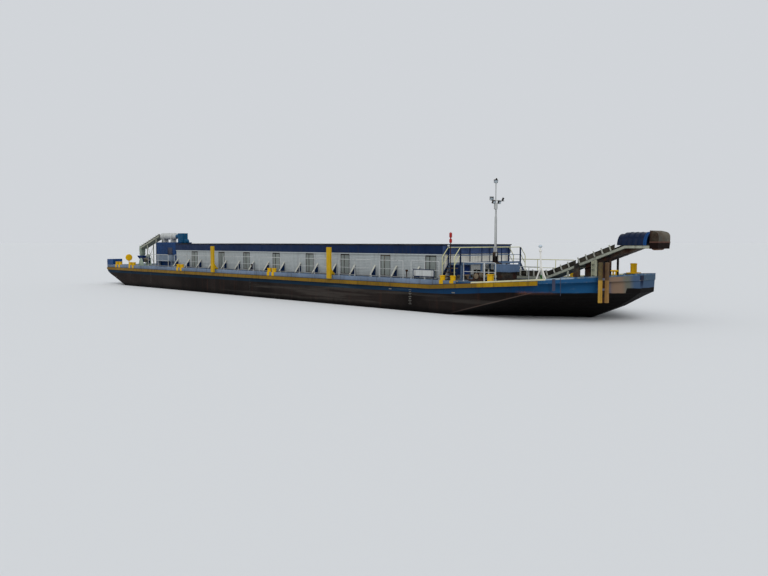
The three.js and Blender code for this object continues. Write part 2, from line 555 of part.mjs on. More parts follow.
function buildMast() {
  const { x, hinge, lights, top, lower, upper, heel, heelZ, cheek, plate, lamp, collar, cap } = MAST;
  const base = CATWALK.floor + GAP;
  const reach = cheek[0];
  const side = (sign) => box([x - reach, x + reach], cheek.map((y) => sign * y), [base, hinge + reach]);
  const pin = rod([x, -cheek[1] + LAP, hinge], [x, cheek[1] - LAP, hinge], MAST.pin, 8);
  const foot = box([x - plate, x + plate], [-plate, plate], [base, base + CATWALK.t]);
  add('mast_foot', join([foot, side(-1), side(1), pin]), PAINT.dark);
  const up = (z) => z - hinge;
  const bore = rod([0, -1, 0], [0, 1, 0], MAST.bore, 8);
  const block = box([-heel, heel], [-heel, heel], heelZ).subtract(bore);
  const head = (y) => box(lamp.x, [y - lamp.half, y + lamp.half], lamp.z.map((z) => up(lights) + z));
  add('light_mast', join([
    block,
    rod([0, 0, lower[0]], [0, 0, up(lower[1])], lower[2], 10),
    rod([0, 0, up(lower[1]) - upper], [0, 0, up(top) - cap.height / 2], upper, 8),
    rod([0, MAST.arm[0], up(lights)], [0, MAST.arm[1], up(lights)], upper), ...lamp.y.map(head),
    rod([0, 0, up(collar.z[0])], [0, 0, up(collar.z[1])], collar.radius, 8),
    box([-cap.half, cap.half], [-cap.half, cap.half], [up(top) - cap.height, up(top)]),
  ]), PAINT.white, [x, 0, hinge]);
}

function buildSignalMast() {
  const { at, base, apex, pole, lean, radius, feet, lamp } = SIGNAL_MAST;
  const z = heightAt(DECK_LINE, at[0]);
  const deck = base.x.map((x) => [x, heightAt(DECK_LINE, at[0] + x) - z]);
  const plate = prism('XZ', strip(deck, GAP, base.t), base.y);
  const legs = feet.map(([x, y]) => rod([x, y, base.t - radius / 2], [0, 0, apex], radius));
  add('signal_mast', join([
    plate, ...legs, rod([0, 0, apex - lamp.radius], [lean, 0, pole], radius),
    rod([lean, 0, lamp.z[0]], [lean, 0, lamp.z[1]], lamp.radius, 8),
  ]), PAINT.white, [...at, z]);
}

// Side beams with a pan between them and idler brackets along a run
function conveyorFrame({ line, depth, idlers, end }, belt) {
  const pieces = [];
  for (const sign of [-1, 1]) {
    const beam = belt.beam.map((y) => sign * y);
    pieces.push(prism('XZ', strip(line, -depth, 0), beam));
    for (let x = idlers[0]; x < idlers[1]; x += IDLER_PITCH) {
      const z = heightAt(line, x);
      pieces.push(box([x, x + IDLER_LENGTH], beam, [z - depth / 3, z + belt.idler]));
    }
  }
  const panHalf = (belt.beam[0] + belt.beam[1]) / 2;
  const pan = strip(stretch(line, line[0][0], end), -depth, -depth + PAN_T);
  pieces.push(prism('XZ', pan, [-panHalf, panHalf]));
  return join(pieces);
}

// The belt with its side skirts, inside the beams
function beltTrough(line, belt, skirtEnd) {
  const skirt = strip(stretch(line, line[0][0], skirtEnd), BELT_Z[0], belt.skirt);
  const skirts = [-1, 1].map((sign) => prism('XZ', skirt, [sign * belt.half, sign * (belt.half - SKIRT_T)]));
  return join([prism('XZ', strip(line, ...BELT_Z), [-belt.half, belt.half]), ...skirts]);
}

function buildConveyor() {
  const holdBelt = strip(HOLD_BELT.line, ...HOLD_BELT.z);
  add('hold_conveyor', prism('XZ', holdBelt, [-BOW_BELT.half, BOW_BELT.half]), PAINT.dark);
  const both = (y) => [-1, 1].map((sign) => y.map((value) => sign * value));
  const legs = DECK_LEGS.x.flatMap((x) => both(DECK_LEGS.y).map((y) => box(
    [x, x + DECK_LEGS.length], y,
    [heightAt(DECK_LINE, x + DECK_LEGS.length) + GAP, heightAt(DECK_RUN.line, x) - DECK_RUN.depth / 2])));
  const ears = both(BOOM_EARS.y).map((y) => prism('XZ', BOOM_EARS.outline, y));
  const ties = both(BOOM_EARS.tie.y).map((y) => box(BOOM_EARS.tie.x, y, BOOM_EARS.tie.z));
  const reach = BOOM_EARS.y[0] + BOOM_EARS.pin;
  const [pinX, pinZ] = BOOM_HINGE;
  const pin = rod([pinX, -reach, pinZ], [pinX, reach, pinZ], BOOM_EARS.pin, 8);
  add('deck_conveyor', join([conveyorFrame(DECK_RUN, BOW_BELT), ...legs, ...ears, ...ties, pin]), PAINT.grey);
  add('deck_belt', beltTrough(DECK_RUN.line, BOW_BELT, DECK_RUN.end), PAINT.dark);
}

// The boom's deep middle, which runs out where it meets the level part
function underframeOutline() {
  const [start, bend] = BOOM_RUN.line;
  const { aft, depth, top } = UNDERFRAME;
  const slope = (bend[1] - start[1]) / (bend[0] - start[0]);
  const fore = bend[0] + (depth - BOOM_RUN.depth) / slope;
  const level = bend[1] - BOOM_RUN.depth;
  return [
    [aft, heightAt(BOOM_RUN.line, aft) - depth], [fore, level], [fore, bend[1] - top],
    [bend[0], bend[1] - top], [aft, heightAt(BOOM_RUN.line, aft) - top],
  ];
}

function buildBoom() {
  const [hingeX, hingeZ] = BOOM_HINGE;
  const at = [hingeX, 0, hingeZ];
  const across = (x, z, radius, sides) => rod([x, -1, z], [x, 1, z], radius, sides);
  const fromHinge = (outline) => outline.map(([x, z]) => [x - hingeX, z - hingeZ]);
  const alongBoom = (places) => places.map((x) => x - hingeX);
  const line = fromHinge(BOOM_RUN.line);
  const [drumX, drumZ] = [HEAD_DRUM.x - hingeX, HEAD_DRUM.z - hingeZ];
  const bores = [across(0, 0, BOOM_EARS.bore, 8), across(drumX, drumZ, HEAD_DRUM.bore, 12)];
  const frame = conveyorFrame({
    line, depth: BOOM_RUN.depth, idlers: alongBoom(BOOM_RUN.idlers), end: BOOM_RUN.end - hingeX,
  }, BOW_BELT);
  const underframe = prism('XZ', fromHinge(underframeOutline()), [-UNDERFRAME.half, UNDERFRAME.half]);
  add('boom_frame', cut(join([frame, underframe]), bores), PAINT.grey, at);
  const belt = stretch(line, ...alongBoom(BOOM_RUN.belt));
  add('boom_belt', beltTrough(belt, BOW_BELT, BOOM_RUN.skirt - hingeX), PAINT.dark, at);
  const base = line[1][1] + GAP;
  const hood = prism('YZ', arch(HOOD.radius, HOOD.radius - HOOD.t, base), alongBoom(HOOD.x));
  add('boom_hood', hood, PAINT.blue, at);
  const shell = prism('XZ', fromHinge(HEAD.outside), [-HEAD.half, HEAD.half])
    .subtract(prism('XZ', fromHinge(HEAD.inside), [HEAD.t - HEAD.half, HEAD.half - HEAD.t]));
  const lugs = [-1, 1].map((sign) => box(
    alongBoom(HEAD.lug.x), [sign * (BOW_BELT.beam[1] + GAP), sign * (HEAD.half - HEAD.t / 2)],
    HEAD.lug.z.map((z) => z - hingeZ)));
  add('head_chute', join([shell, ...lugs]), PAINT.rust, at);
  const { half, radius, shaft, shaftHalf } = HEAD_DRUM;
  add('head_drum', join([
    rod([0, -half, 0], [0, half, 0], radius, 20), rod([0, -shaftHalf, 0], [0, shaftHalf, 0], shaft, 10),
  ]), PAINT.rust, [HEAD_DRUM.x, 0, HEAD_DRUM.z]);
}

function buildBoomSupport() {
  const { base, legs, props, housing, under } = BOOM_SUPPORT;
  const line = stretch(DECK_LINE, ...base.x);
  const plate = prism('XZ', strip(line, GAP, base.height), [-base.half, base.half]);
  const upright = ([aft, fore], y, drop) => {
    const foot = heightAt(DECK_LINE, fore) + base.height / 2;
    const top = (x) => heightAt(BOOM_RUN.line, x) - drop;
    return prism('XZ', [[aft, foot], [fore, foot], [fore, top(fore)], [aft, top(aft)]], y);
  };
  const pair = ({ x, y }, drop) => [-1, 1].map((sign) => upright(x, y.map((value) => sign * value), drop));
  add('boom_support', join([
    plate, ...pair(legs, BOOM_RUN.depth + under), ...pair(props, UNDERFRAME.depth + under),
    upright(housing.x, [-housing.half, housing.half], UNDERFRAME.depth + housing.under),
  ]), PAINT.green);
}

function buildBowFittings() {
  const { at, half, z, web, tie, tieZ, tieT } = GUIDE_POSTS;
  add('bow_guide_posts', join([
    ...at.map(([x, y]) => box([x - half, x + half], [y - half, y + half], z)), prism('XY', web, z),
    ...tieZ.map((low) => prism('XY', tie, [low, low + tieT])),
  ]), PAINT.yellow);
  const { x, base, plate, plateT, foot, radius, top, cap, capT } = BOW_BOLLARD;
  const deck = heightAt(DECK_LINE, x + foot[0]) + GAP - base;
  add('bow_bollard', join([
    box([-foot[0], foot[0]], [-foot[1], foot[1]], [deck, plateT / 2]),
    box([-plate[0], plate[0]], [-plate[1], plate[1]], [0, plateT]),
    rod([0, 0, plateT / 2], [0, 0, top - base], radius, 14),
    rod([0, 0, top - base - capT], [0, 0, top - base], cap, 14),
  ]), PAINT.yellow, [x, 0, base]);
}

function buildDeckMachines() {
  const { x, y, z, skid } = POWER_UNIT;
  const skids = [y[0] + skid.inset, y[1] - skid.inset - skid.t].map((side) => box(
    x, [side, side + skid.t], [DECK_Z + GAP, z[0] + LAP]));
  add('power_unit', join([box(x, y, z), ...skids]), PAINT.navy);
  const unit = MACHINERY_BOX;
  add('machinery_box', join([
    box(unit.x, unit.y, unit.z), box(unit.base.x, unit.base.y, [DECK_Z + GAP, unit.z[0] + LAP]),
  ]), PAINT.deck);
  const { at, base, drum, cheek } = FORE_WINDLASS;
  const cheeks = [-1, 1].map((sign) => prism('XZ', cheek.outline, cheek.y.map((side) => sign * side)));
  add('fore_windlass', join([
    box([-base.half[0], base.half[0]], [-base.half[1], base.half[1]], [GAP, base.t]), ...cheeks,
    rod([0, -drum.half, drum.z], [0, drum.half, drum.z], drum.radius, 16),
  ]), PAINT.navy, [...at, DECK_Z]);
}

function buildWinches() {
  const { at, cheek, cheekT, outline, base, drum, flange } = WINCH;
  const cheeks = [-cheek, cheek].map((y) => prism('XZ', outline, [y - cheekT, y + cheekT]));
  const plate = box([-base.half[0], base.half[0]], [-base.half[1], base.half[1]], base.z);
  const barrel = (half, radius, sides) => rod([0, -half, 0], [0, half, 0], radius, sides);
  addPair('winch_frame', join([plate, ...cheeks, barrel(cheek, WINCH.pin, 8)]), PAINT.green, at);
  const rim = (y) => rod([0, y - flange.t, 0], [0, y + flange.t, 0], flange.radius, 16);
  const spool = join([barrel(drum.half, drum.radius, 16), rim(-drum.half), rim(drum.half)]);
  addPair('winch_drum', spool.subtract(barrel(1, WINCH.bore, 8)), PAINT.navy, at);
}

function buildAftHouse() {
  const { x, half, top, wall, raised } = AFT_HOUSE;
  const room = [x[0] + wall, x[1] - wall];
  const outside = join([
    box(x, [-half, half], [DECK_Z + GAP, top]), box(x, raised.y, [DECK_Z + GAP, raised.top]),
  ]);
  const inside = join([
    box(room, [-half + wall, half - wall], [DECK_Z - 1, top - wall]),
    box(room, [raised.y[0] + wall, raised.y[1] - wall], [DECK_Z - 1, raised.top - wall]),
  ]);
  const doorway = box([x[0] - 2 * wall, x[0] + 2 * wall], AFT_DOOR.y, AFT_DOOR.z);
  add('aft_house', cut(outside, [inside, doorway]), PAINT.navy);
  const [near, hinge] = AFT_DOOR.y;
  const { play, t } = AFT_DOOR;
  const sill = (AFT_DOOR.z[0] + AFT_DOOR.z[1]) / 2;
  const leafHeight = AFT_DOOR.z.map((z, i) => z - sill + (i ? -play : play));
  const leaf = box([play, play + t], [near - hinge + play, -play], leafHeight);
  add('aft_door', leaf, PAINT.blue, [x[0], hinge, sill]);
  const cabinet = AFT_CABINET;
  const legs = cabinet.legs.map((at) => box([at, at + cabinet.leg],
    [-cabinet.y[0] - LAP, -cabinet.y[1] + LAP], [DECK_Z + GAP, cabinet.z[0] + cabinet.leg]));
  add('aft_cabinet', join([box(cabinet.x, cabinet.y.map((y) => -y), cabinet.z), ...legs]), PAINT.white);
}

function buildAftConveyor() {
  const at = [0, AFT_Y, 0];
  const legs = AFT_LEGS.x.flatMap((x) => [-1, 1].map((sign) => box(
    [x, x + AFT_LEGS.length], AFT_BELT.beam.map((y) => sign * y),
    [DECK_Z + GAP, heightAt(AFT_RUN.line, x) - AFT_RUN.depth / 2])));
  add('aft_conveyor', join([conveyorFrame(AFT_RUN, AFT_BELT), ...legs]), PAINT.grey, at);
  add('aft_belt', beltTrough(AFT_RUN.line, AFT_BELT, AFT_RUN.end), PAINT.dark, at);
  const { x, half, z, stand } = AFT_CHUTE;
  const foot = (x[0] + x[1]) / 2;
  add('aft_chute', join([
    box(x, [-half, half], z),
    box([foot - stand / 2, foot + stand / 2], [-stand / 2, stand / 2], [DECK_Z + GAP, z[0] + stand]),
  ]), PAINT.green, at);
  const tube = AFT_TUBE;
  const roof = AFT_HOUSE.raised.top + GAP;
  const { saddles, dome } = tube;
  const rests = saddles.x.map((mid) => box(
    [mid - saddles.t, mid + saddles.t], [-saddles.half, saddles.half], [roof, tube.z]));
  const [tail, nose] = tube.x;
  const along = (from, to, radius, sides) => rod([from, 0, tube.z], [to, 0, tube.z], radius, sides);
  add('aft_hood', join([
    along(tail, nose, tube.radius, 16), along(nose - LAP, nose + dome.length, dome.radius, 16), ...rests,
  ]), PAINT.white, at);
  const head = AFT_HEAD;
  add('aft_head', join([
    box(head.x, [-head.half, head.half], [roof, head.top]),
    along(nose + dome.length + GAP, head.x[0] + LAP, head.neck, 12),
    box([head.x[1] - LAP, head.spout.x], [-head.spout.half, head.spout.half], head.spout.z),
  ]), PAINT.blue, at);
}

buildHull();
buildBulwark();
buildStrakes();
buildForeBollards();
buildFenderPosts();
buildCoaming();
buildBrackets();
buildRails();
buildCatwalk();
buildStairs();
buildMast();
buildSignalMast();
buildConveyor();
buildBoom();
buildBoomSupport();
buildBowFittings();
buildDeckMachines();
buildWinches();
buildAftHouse();
buildAftConveyor();

// The origin lies under the middle of the whole barge, on the flat of the keel
const BOW_END_X = Math.max(...HEAD.outside.map(([x]) => x));
const MIDDLE_X = (STERN_X + BOW_END_X) / 2;
barge.position.set(-MIDDLE_X * MM, 0, -KEEL_Z * MM);

export default barge;
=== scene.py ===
import math
from collections import namedtuple

import bmesh
import bpy
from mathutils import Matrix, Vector


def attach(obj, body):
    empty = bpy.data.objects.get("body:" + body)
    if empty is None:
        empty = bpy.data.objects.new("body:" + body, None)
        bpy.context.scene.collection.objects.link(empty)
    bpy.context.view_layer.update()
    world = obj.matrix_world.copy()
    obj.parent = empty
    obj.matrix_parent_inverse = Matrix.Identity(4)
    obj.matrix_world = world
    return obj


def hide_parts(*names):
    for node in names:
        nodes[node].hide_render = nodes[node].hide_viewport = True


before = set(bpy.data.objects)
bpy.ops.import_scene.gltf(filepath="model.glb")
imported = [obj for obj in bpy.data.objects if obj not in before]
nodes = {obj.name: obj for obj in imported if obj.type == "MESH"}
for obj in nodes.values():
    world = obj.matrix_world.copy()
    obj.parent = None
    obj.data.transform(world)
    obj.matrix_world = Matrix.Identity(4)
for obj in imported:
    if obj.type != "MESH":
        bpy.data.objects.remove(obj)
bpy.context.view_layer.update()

# Sizes are in metres of the full-size vessel, measured from the aftmost coaming bracket,
# the centreline and the waterline, as in the part's source.
SCALE = 0.5
MIDDLE_X = 16.07
DRAUGHT = 0.75
SIDES = ("starboard", "port")
FORWARD, PORT, UP = (1, 0, 0), (0, 1, 0), (0, 0, 1)

# Camera, from a fit of the photograph: 768 pixels wide, focal length in pixels
FRAME_WIDTH = 768
FOCAL = 720.4
CAMERA_AT = (60.66, -38.21, 4.36)
CAMERA_PITCH = -0.0642
CAMERA_YAW = 0.7742

# Hull and decks
HALF_BEAM = 4.75
STERN_X = -12.2
DECK_Z = 2.0
ON_DECK = 2.001  # just over the deck plate
NOSE_X = 43.5
DECK_LINE = [(STERN_X, 2.0), (38.2, 2.0), (39.9, 2.15), (NOSE_X, 2.3)]
SHOULDER = (33.2, 0.2634)  # where the bow's shoulder leaves the water, and how steeply it rises
# The blue band's lower edge: its height, then from where to where and how much it rises
BAND_EDGE = {"z": 1.22, "rise": (32.0, 39.3, 0.36), "nose": (42.86, 42.94, 0.27)}
STRAKE_TOP = [(STERN_X, 1.73), (32.0, 1.73), (39.5, 2.24)]
BULWARK = [(35.0, 2.02), (39.9, 2.37), (NOSE_X, 2.62)]
BOLLARD_X = (-10.2, -9.5, -7.3, -6.6, 1.9, 2.5, 15.5, 16.1, 32.8, 33.6)
BOLLARD_Y = 4.66

# Hold
HOLD = {"x": (-0.005, 31.655), "half": 3.462, "floor": -0.36}
FLOOR_HOLE = {"x": (0, 31.6), "half": 3.4}  # the stage is open under the hold
COAMING_X = (-0.3, 31.95)
COAMING_HALF = 3.6
WALL_Z = (2.1, 3.5)
RECESSES = (
    (2.4, 3.4), (6.8, 7.7), (10.5, 11.4), (14.5, 15.4),
    (18.6, 19.5), (22.5, 23.4), (26.5, 27.4), (30.5, 31.4),
)
BRACKET_PITCH = 2.0
BRACKET_COUNT = 16

# Rails: aft end, fore end, number of posts
RAIL_Y = 4.4
RAIL_R = 0.028
RAIL_HEIGHTS = (0.6, 1.15)
RAIL_SECTIONS = (
    (-4.2, -0.4, 3), (0.8, 6.9, 4), (8.8, 13.0, 3), (13.8, 16.5, 2), (18.8, 22.3, 3),
    (23.2, 26.4, 3), (27.2, 29.3, 2), (30.0, 32.3, 3),
)
RAIL_FORE = {"starboard": [(34.2, 35.71, 2), (35.71, 36.5, 2)], "port": [(32.3, 36.5, 4)]}

# Conveyors: half width, beams, skirt and bracket heights, then the upper edge of the beams
BOW_BELT = {"half": 0.6, "beam": (0.62, 0.7), "skirt": 0.3, "idler": 0.35}
AFT_BELT = {"half": 0.28, "beam": (0.3, 0.36), "skirt": 0.15, "idler": 0.2}
BEAM_DEPTH = 0.17
BEAM_PLATE = 0.012
BELT_THICK = 0.022
ROLLER_R = 0.05
IDLER_PITCH = 0.48
DECK_RUN = [(32.02, 2.24), (37.5, 2.28), (39.52, 3.04)]
BOOM_RUN = [(39.64, 3.1), (42.45, 4.16), (44.2, 4.16)]
AFT_RUN = [(-8.4, 3.8), (-4.5, 5.0)]
AFT_Y = -2.7
HOOD = {"x": (41.95, 43.66), "radius": 0.74, "z": 4.161}
DRUM_AT = (44.0, 4.08)
MAST_X = 33.32


def place(x, y, z):
    """A full-size point in the model's frame."""
    return Vector(((x - MIDDLE_X) * SCALE, y * SCALE, (z + DRAUGHT) * SCALE))


def span(at, half):
    return (at - half, at + half)


def row(first, pitch, count):
    """Places at an even pitch."""
    return [first + pitch * k for k in range(count)]


def spread(first, last, count):
    """Places spread evenly from one to another."""
    return row(first, (last - first) / (count - 1), count)


def height_at(line, x):
    """Height of a line of (x, z) points."""
    for (x0, z0), (x1, z1) in zip(line, line[1:]):
        if x <= x1:
            return z0 + (z1 - z0) * (x - x0) / (x1 - x0)
    return line[-1][1]


def deck_at(x):
    return height_at(DECK_LINE, x)


def polar(radius, centre, degrees):
    """A point on a circle in a plane."""
    turn = math.radians(degrees)
    return (centre[0] + radius * math.cos(turn), centre[1] + radius * math.sin(turn))


def arc(radius, centre, start, end, steps):
    """Points on a circle between two angles in degrees."""
    return [polar(radius, centre, degrees) for degrees in spread(start, end, steps + 1)]


def circle(centre, radius, a, b, sides):
    """Points round a centre in the plane of two directions."""
    turns = [2 * math.pi * k / sides for k in range(sides)]
    return [centre + radius * (math.cos(turn) * a + math.sin(turn) * b) for turn in turns]


def rounded(path, radius=0.1, steps=3):
    """A line of points with its corners turned into short arcs."""
    points = [Vector(p) for p in path]
    line = [points[0]]
    for before, at, after in zip(points, points[1:], points[2:]):
        start = at + (before - at).normalized() * radius
        end = at + (after - at).normalized() * radius
        for step in range(steps + 1):
            t = step / steps
            line.append((1 - t) ** 2 * start + 2 * t * (1 - t) * at + t * t * end)
    return line + [points[-1]]


def spokes(count):
    """Directions out from an axle along Y, each with the one square to it."""
    for k in range(count):
        turn = 2 * math.pi * k / count
        out = Vector((math.cos(turn), 0, math.sin(turn)))
        yield out, Vector((-out.z, 0, out.x))


def add_bevel(piece, width):
    bevel = piece.modifiers.new("bevel", "BEVEL")
    bevel.width = width * SCALE
    bevel.segments = 2
    bevel.limit_method = "ANGLE"
    bevel.angle_limit = math.radians(40)


# Where a prism's outline and its third axis go
PLANES = {
    "XY": lambda a, b, level: (a, b, level),
    "XZ": lambda a, b, level: (a, level, b),
    "YZ": lambda a, b, level: (level, a, b),
}


class Shape:
    """Faces gathered in full-size metres, before they become one piece of the model.

    A shape with a side is written for port, is turned over for starboard, and adds its
    side to its own name and to the names of the nodes that it replaces.
    """

    def __init__(self, side=""):
        self.side = f"_{side}" if side else ""
        self.sign = -1 if side == "starboard" else 1
        self.points, self.faces = [], []

    def turn(self, point):
        return Vector((point[0], self.sign * point[1], point[2]))

    def add(self, points, faces):
        first = len(self.points)
        self.points += [Vector(p) for p in points]
        self.faces += [[first + i for i in face] for face in faces]
        return self

    def skin(self, rings):
        count = len(rings[0])
        last = (len(rings) - 1) * count
        faces = [tuple(range(count)), tuple(range(last, last + count))]
        for ring in range(0, last, count):
            for k in range(count):
                a, b = ring + k, ring + (k + 1) % count
                faces.append((a, b, b + count, a + count))
        return self.add([point for ring in rings for point in ring], faces)

    def block(self, origin, a, b, c):
        """A box from one corner and the three edges that leave it."""
        origin, a, b, c = (self.turn(v) for v in (origin, a, b, c))
        corners = [origin + i * a + j * b + k * c for k in (0, 1) for j in (0, 1) for i in (0, 1)]
        return self.add(corners, [
            (0, 2, 3, 1), (4, 5, 7, 6), (0, 1, 5, 4), (2, 6, 7, 3), (0, 4, 6, 2), (1, 3, 7, 5),
        ])

    def box(self, x, y, z):
        return self.block((x[0], y[0], z[0]), (x[1] - x[0], 0, 0), (0, y[1] - y[0], 0), (0, 0, z[1] - z[0]))

    def loft(self, rings):
        """A closed skin over rings of equal count."""
        return self.skin([[self.turn(point) for point in ring] for ring in rings])

    def prism(self, plane, outline, ends):
        """An outline in the plane XY, XZ or YZ, carried between two places on the third axis."""
        return self.loft([[PLANES[plane](a, b, level) for a, b in outline] for level in ends])

    def strip(self, line, low, high, y):
        """A plate that follows a line of (x, z) points between two heights over it."""
        outline = [(x, z + low) for x, z in line] + [(x, z + high) for x, z in reversed(line)]
        return self.prism("XZ", outline, y)

    def tube(self, path, radius, sides=8):
        """A round bar through points, capped at both ends."""
        path = [self.turn(p) for p in path]
        side = None
        rings = []
        for i, at in enumerate(path):
            along = (path[min(i + 1, len(path) - 1)] - path[max(i - 1, 0)]).normalized()
            if side is None:
                side = along.cross(Vector((0.3, 0.2, 1)) if abs(along.z) < 0.9 else Vector((1, 0.2, 0)))
            side = (side - side.dot(along) * along).normalized()
            rings.append(circle(at, radius, side, along.cross(side), sides))
        return self.skin(rings)

    def lathe(self, rings, at, axis=UP, sides=16):
        """Rings of (radius, distance along the axis) from a point, closed by flat ends."""
        axis, at = self.turn(axis).normalized(), self.turn(at)
        side = axis.cross(Vector(UP) if abs(axis.z) < 0.9 else Vector(FORWARD)).normalized()
        up = axis.cross(side)
        return self.skin([circle(at + along * axis, radius, side, up, sides) for radius, along in rings])

    def bolts(self, centres, axis, radius=0.018, height=0.014):
        """Hexagon heads that stand on a surface."""
        rings = [(radius, -0.004), (radius, height * 0.8), (radius * 0.8, height)]
        for at in centres:
            self.lathe(rings, at, axis, sides=6)
        return self

    def mirrored(self):
        """The same on both sides of the centreline."""
        return self.add([(p.x, -p.y, p.z) for p in self.points], list(self.faces))

    def moved(self, x, y, z):
        self.points = [p + Vector((x, y, z)) for p in self.points]
        return self

    def make(self, name, look, *replaced, body="barge", slot=None, bevel=0.0, smooth=32):
        """One piece of the model, which stands for the replaced nodes."""
        name += self.side
        shape = bmesh.new()
        verts = [shape.verts.new(place(*p)) for p in self.points]
        for face in self.faces:
            shape.faces.new([verts[i] for i in face])
        bmesh.ops.recalc_face_normals(shape, faces=shape.faces)
        mesh = bpy.data.meshes.new(name)
        shape.to_mesh(mesh)
        shape.free()
        mesh.materials.append(look.material)
        for polygon in mesh.polygons:
            polygon.use_smooth = True
        mesh.set_sharp_from_angle(angle=math.radians(smooth))
        piece = bpy.data.objects.new(name, mesh)
        bpy.context.scene.collection.objects.link(piece)
        if bevel:
            add_bevel(piece, bevel)
        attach(piece, body)
        if replaced:
            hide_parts(*(node + self.side for node in replaced))


def dress(look, *names, bevel=0.0):
    """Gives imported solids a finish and, where asked, softened edges."""
    for name in names:
        node = nodes[name]
        node.data.materials.clear()
        node.data.materials.append(look.material)
        if bevel:
            add_bevel(node, bevel)


def both_sides(name):
    return [f"{name}_{side}" for side in SIDES]


# Colours of three numbers are as seen on screen, 0 to 255.
RUST = (98, 56, 34)
DARK_RUST = (58, 36, 27)
GRIME = (60, 54, 46)
DUST = (150, 140, 120)
BOW_BLUE = (30, 72, 108)


def shade(colour, factor=1.0):
    """A colour on screen, made lighter or darker, as the linear light that a shader takes."""
    return (*(min(1.0, (c / 255) ** 2.2 * factor) for c in colour), 1.0)


# A finished material and the name of the record's slot that it belongs to
Finish = namedtuple("Finish", "material slot")


class Look:
    """A node material: colour, roughness and bump come from the piece's own coordinates."""

    def __init__(self, name, slot, metallic=0.0, shine=0.12):
        self.finish = Finish(bpy.data.materials.new(name), slot)
        self.finish.material.use_nodes = True
        self.tree = self.finish.material.node_tree
        self.shader = self.tree.nodes["Principled BSDF"]
        self.shader.inputs["Metallic"].default_value = metallic
        self.shader.inputs["Specular IOR Level"].default_value = shine
        coordinates = self.tree.nodes.new("ShaderNodeTexCoord")
        self.coords, self.normal = coordinates.outputs["Object"], coordinates.outputs["Normal"]

    def put(self, value, socket):
        """Links an output, or sets a number or a colour."""
        if isinstance(value, bpy.types.NodeSocket):
            self.tree.links.new(value, socket)
        elif isinstance(value, tuple) and len(value) == 3:
            socket.default_value = shade(value)
        else:
            socket.default_value = value

    def math(self, operation, a, b=0.0, clamp=False):
        node = self.tree.nodes.new("ShaderNodeMath")
        node.operation = operation
        node.use_clamp = clamp
        self.put(a, node.inputs[0])
        self.put(b, node.inputs[1])
        return node.outputs[0]

    def plus(self, a, b):
        return self.math("ADD", a, b)

    def minus(self, a, b):
        return self.math("SUBTRACT", a, b)

    def times(self, *values):
        product = values[0]
        for value in values[1:]:
            product = self.math("MULTIPLY", product, value)
        return product

    def axis(self, name, vector=None):
        split = self.tree.nodes.new("ShaderNodeSeparateXYZ")
        self.put(vector or self.coords, split.inputs[0])
        return split.outputs[name]

    def metres(self):
        """Full-size x, y and z of the shaded point, for pieces at the model's origin."""
        x, y, z = (self.times(self.axis(name), 1 / SCALE) for name in "XYZ")
        return self.plus(x, MIDDLE_X), y, self.minus(z, DRAUGHT)

    def noise(self, scale, stretch=(1, 1, 1), detail=5.0, rough=0.6):
        mapping = self.tree.nodes.new("ShaderNodeMapping")
        self.put(self.coords, mapping.inputs["Vector"])
        mapping.inputs["Scale"].default_value = stretch
        noise = self.tree.nodes.new("ShaderNodeTexNoise")
        self.put(mapping.outputs[0], noise.inputs["Vector"])
        for name, value in (("Scale", scale), ("Detail", detail), ("Roughness", rough)):
            noise.inputs[name].default_value = value
        return noise.outputs["Fac"]

    def ramp(self, value, low, high, out=(0.0, 1.0)):
        node = self.tree.nodes.new("ShaderNodeMapRange")
        node.interpolation_type = "SMOOTHSTEP"
        self.put(value, node.inputs["Value"])
        for name, limit in (("From Min", low), ("From Max", high), ("To Min", out[0]), ("To Max", out[1])):
            node.inputs[name].default_value = limit
        return node.outputs[0]

    def mix(self, share, a, b):
        node = self.tree.nodes.new("ShaderNodeMix")
        node.data_type = "RGBA"
        self.put(share, node.inputs[0])
        self.put(a, node.inputs[6])
        self.put(b, node.inputs[7])
        return node.outputs[2]

    def layers(self, base, *rows):
        """Colours laid over each other, each row a value, its ramp, the ramp's ends and the colour."""
        for value, low, high, out, colour in rows:
            base = self.mix(self.ramp(value, low, high, out), base, colour)
        return base

    def done(self, colour, roughness, height=None, depth=0.003, strength=0.6):
        self.put(colour, self.shader.inputs["Base Color"])
        self.put(roughness, self.shader.inputs["Roughness"])
        if height is not None:
            bump = self.tree.nodes.new("ShaderNodeBump")
            bump.inputs["Strength"].default_value = strength
            bump.inputs["Distance"].default_value = depth
            self.put(height, bump.inputs["Height"])
            self.put(bump.outputs[0], self.shader.inputs["Normal"])
        return self.finish


def nose_marks(look, colour, x, y):
    """The bow's marks: brown run-off below the boom's starboard edge, greyer blue to the nose, and a
    near-black strip at the nose's starboard end.
    """
    for fore, width, there in ((42.1, 0.3, (126, 102, 78)), (42.7, 0.26, (86, 92, 86)),
                               (43.0, 0.26, (54, 76, 104)), (43.46, 0.03, (52, 74, 92))):
        colour = look.mix(look.ramp(x, fore, fore + width, (0, 0.85)), colour, there)
    # A near-black strip at the starboard end of the nose's front face
    edge = look.times(look.ramp(x, 43.45, 43.48), look.ramp(y, -0.58, -0.52, (1, 0)))
    return look.mix(edge, colour, (4, 18, 44))


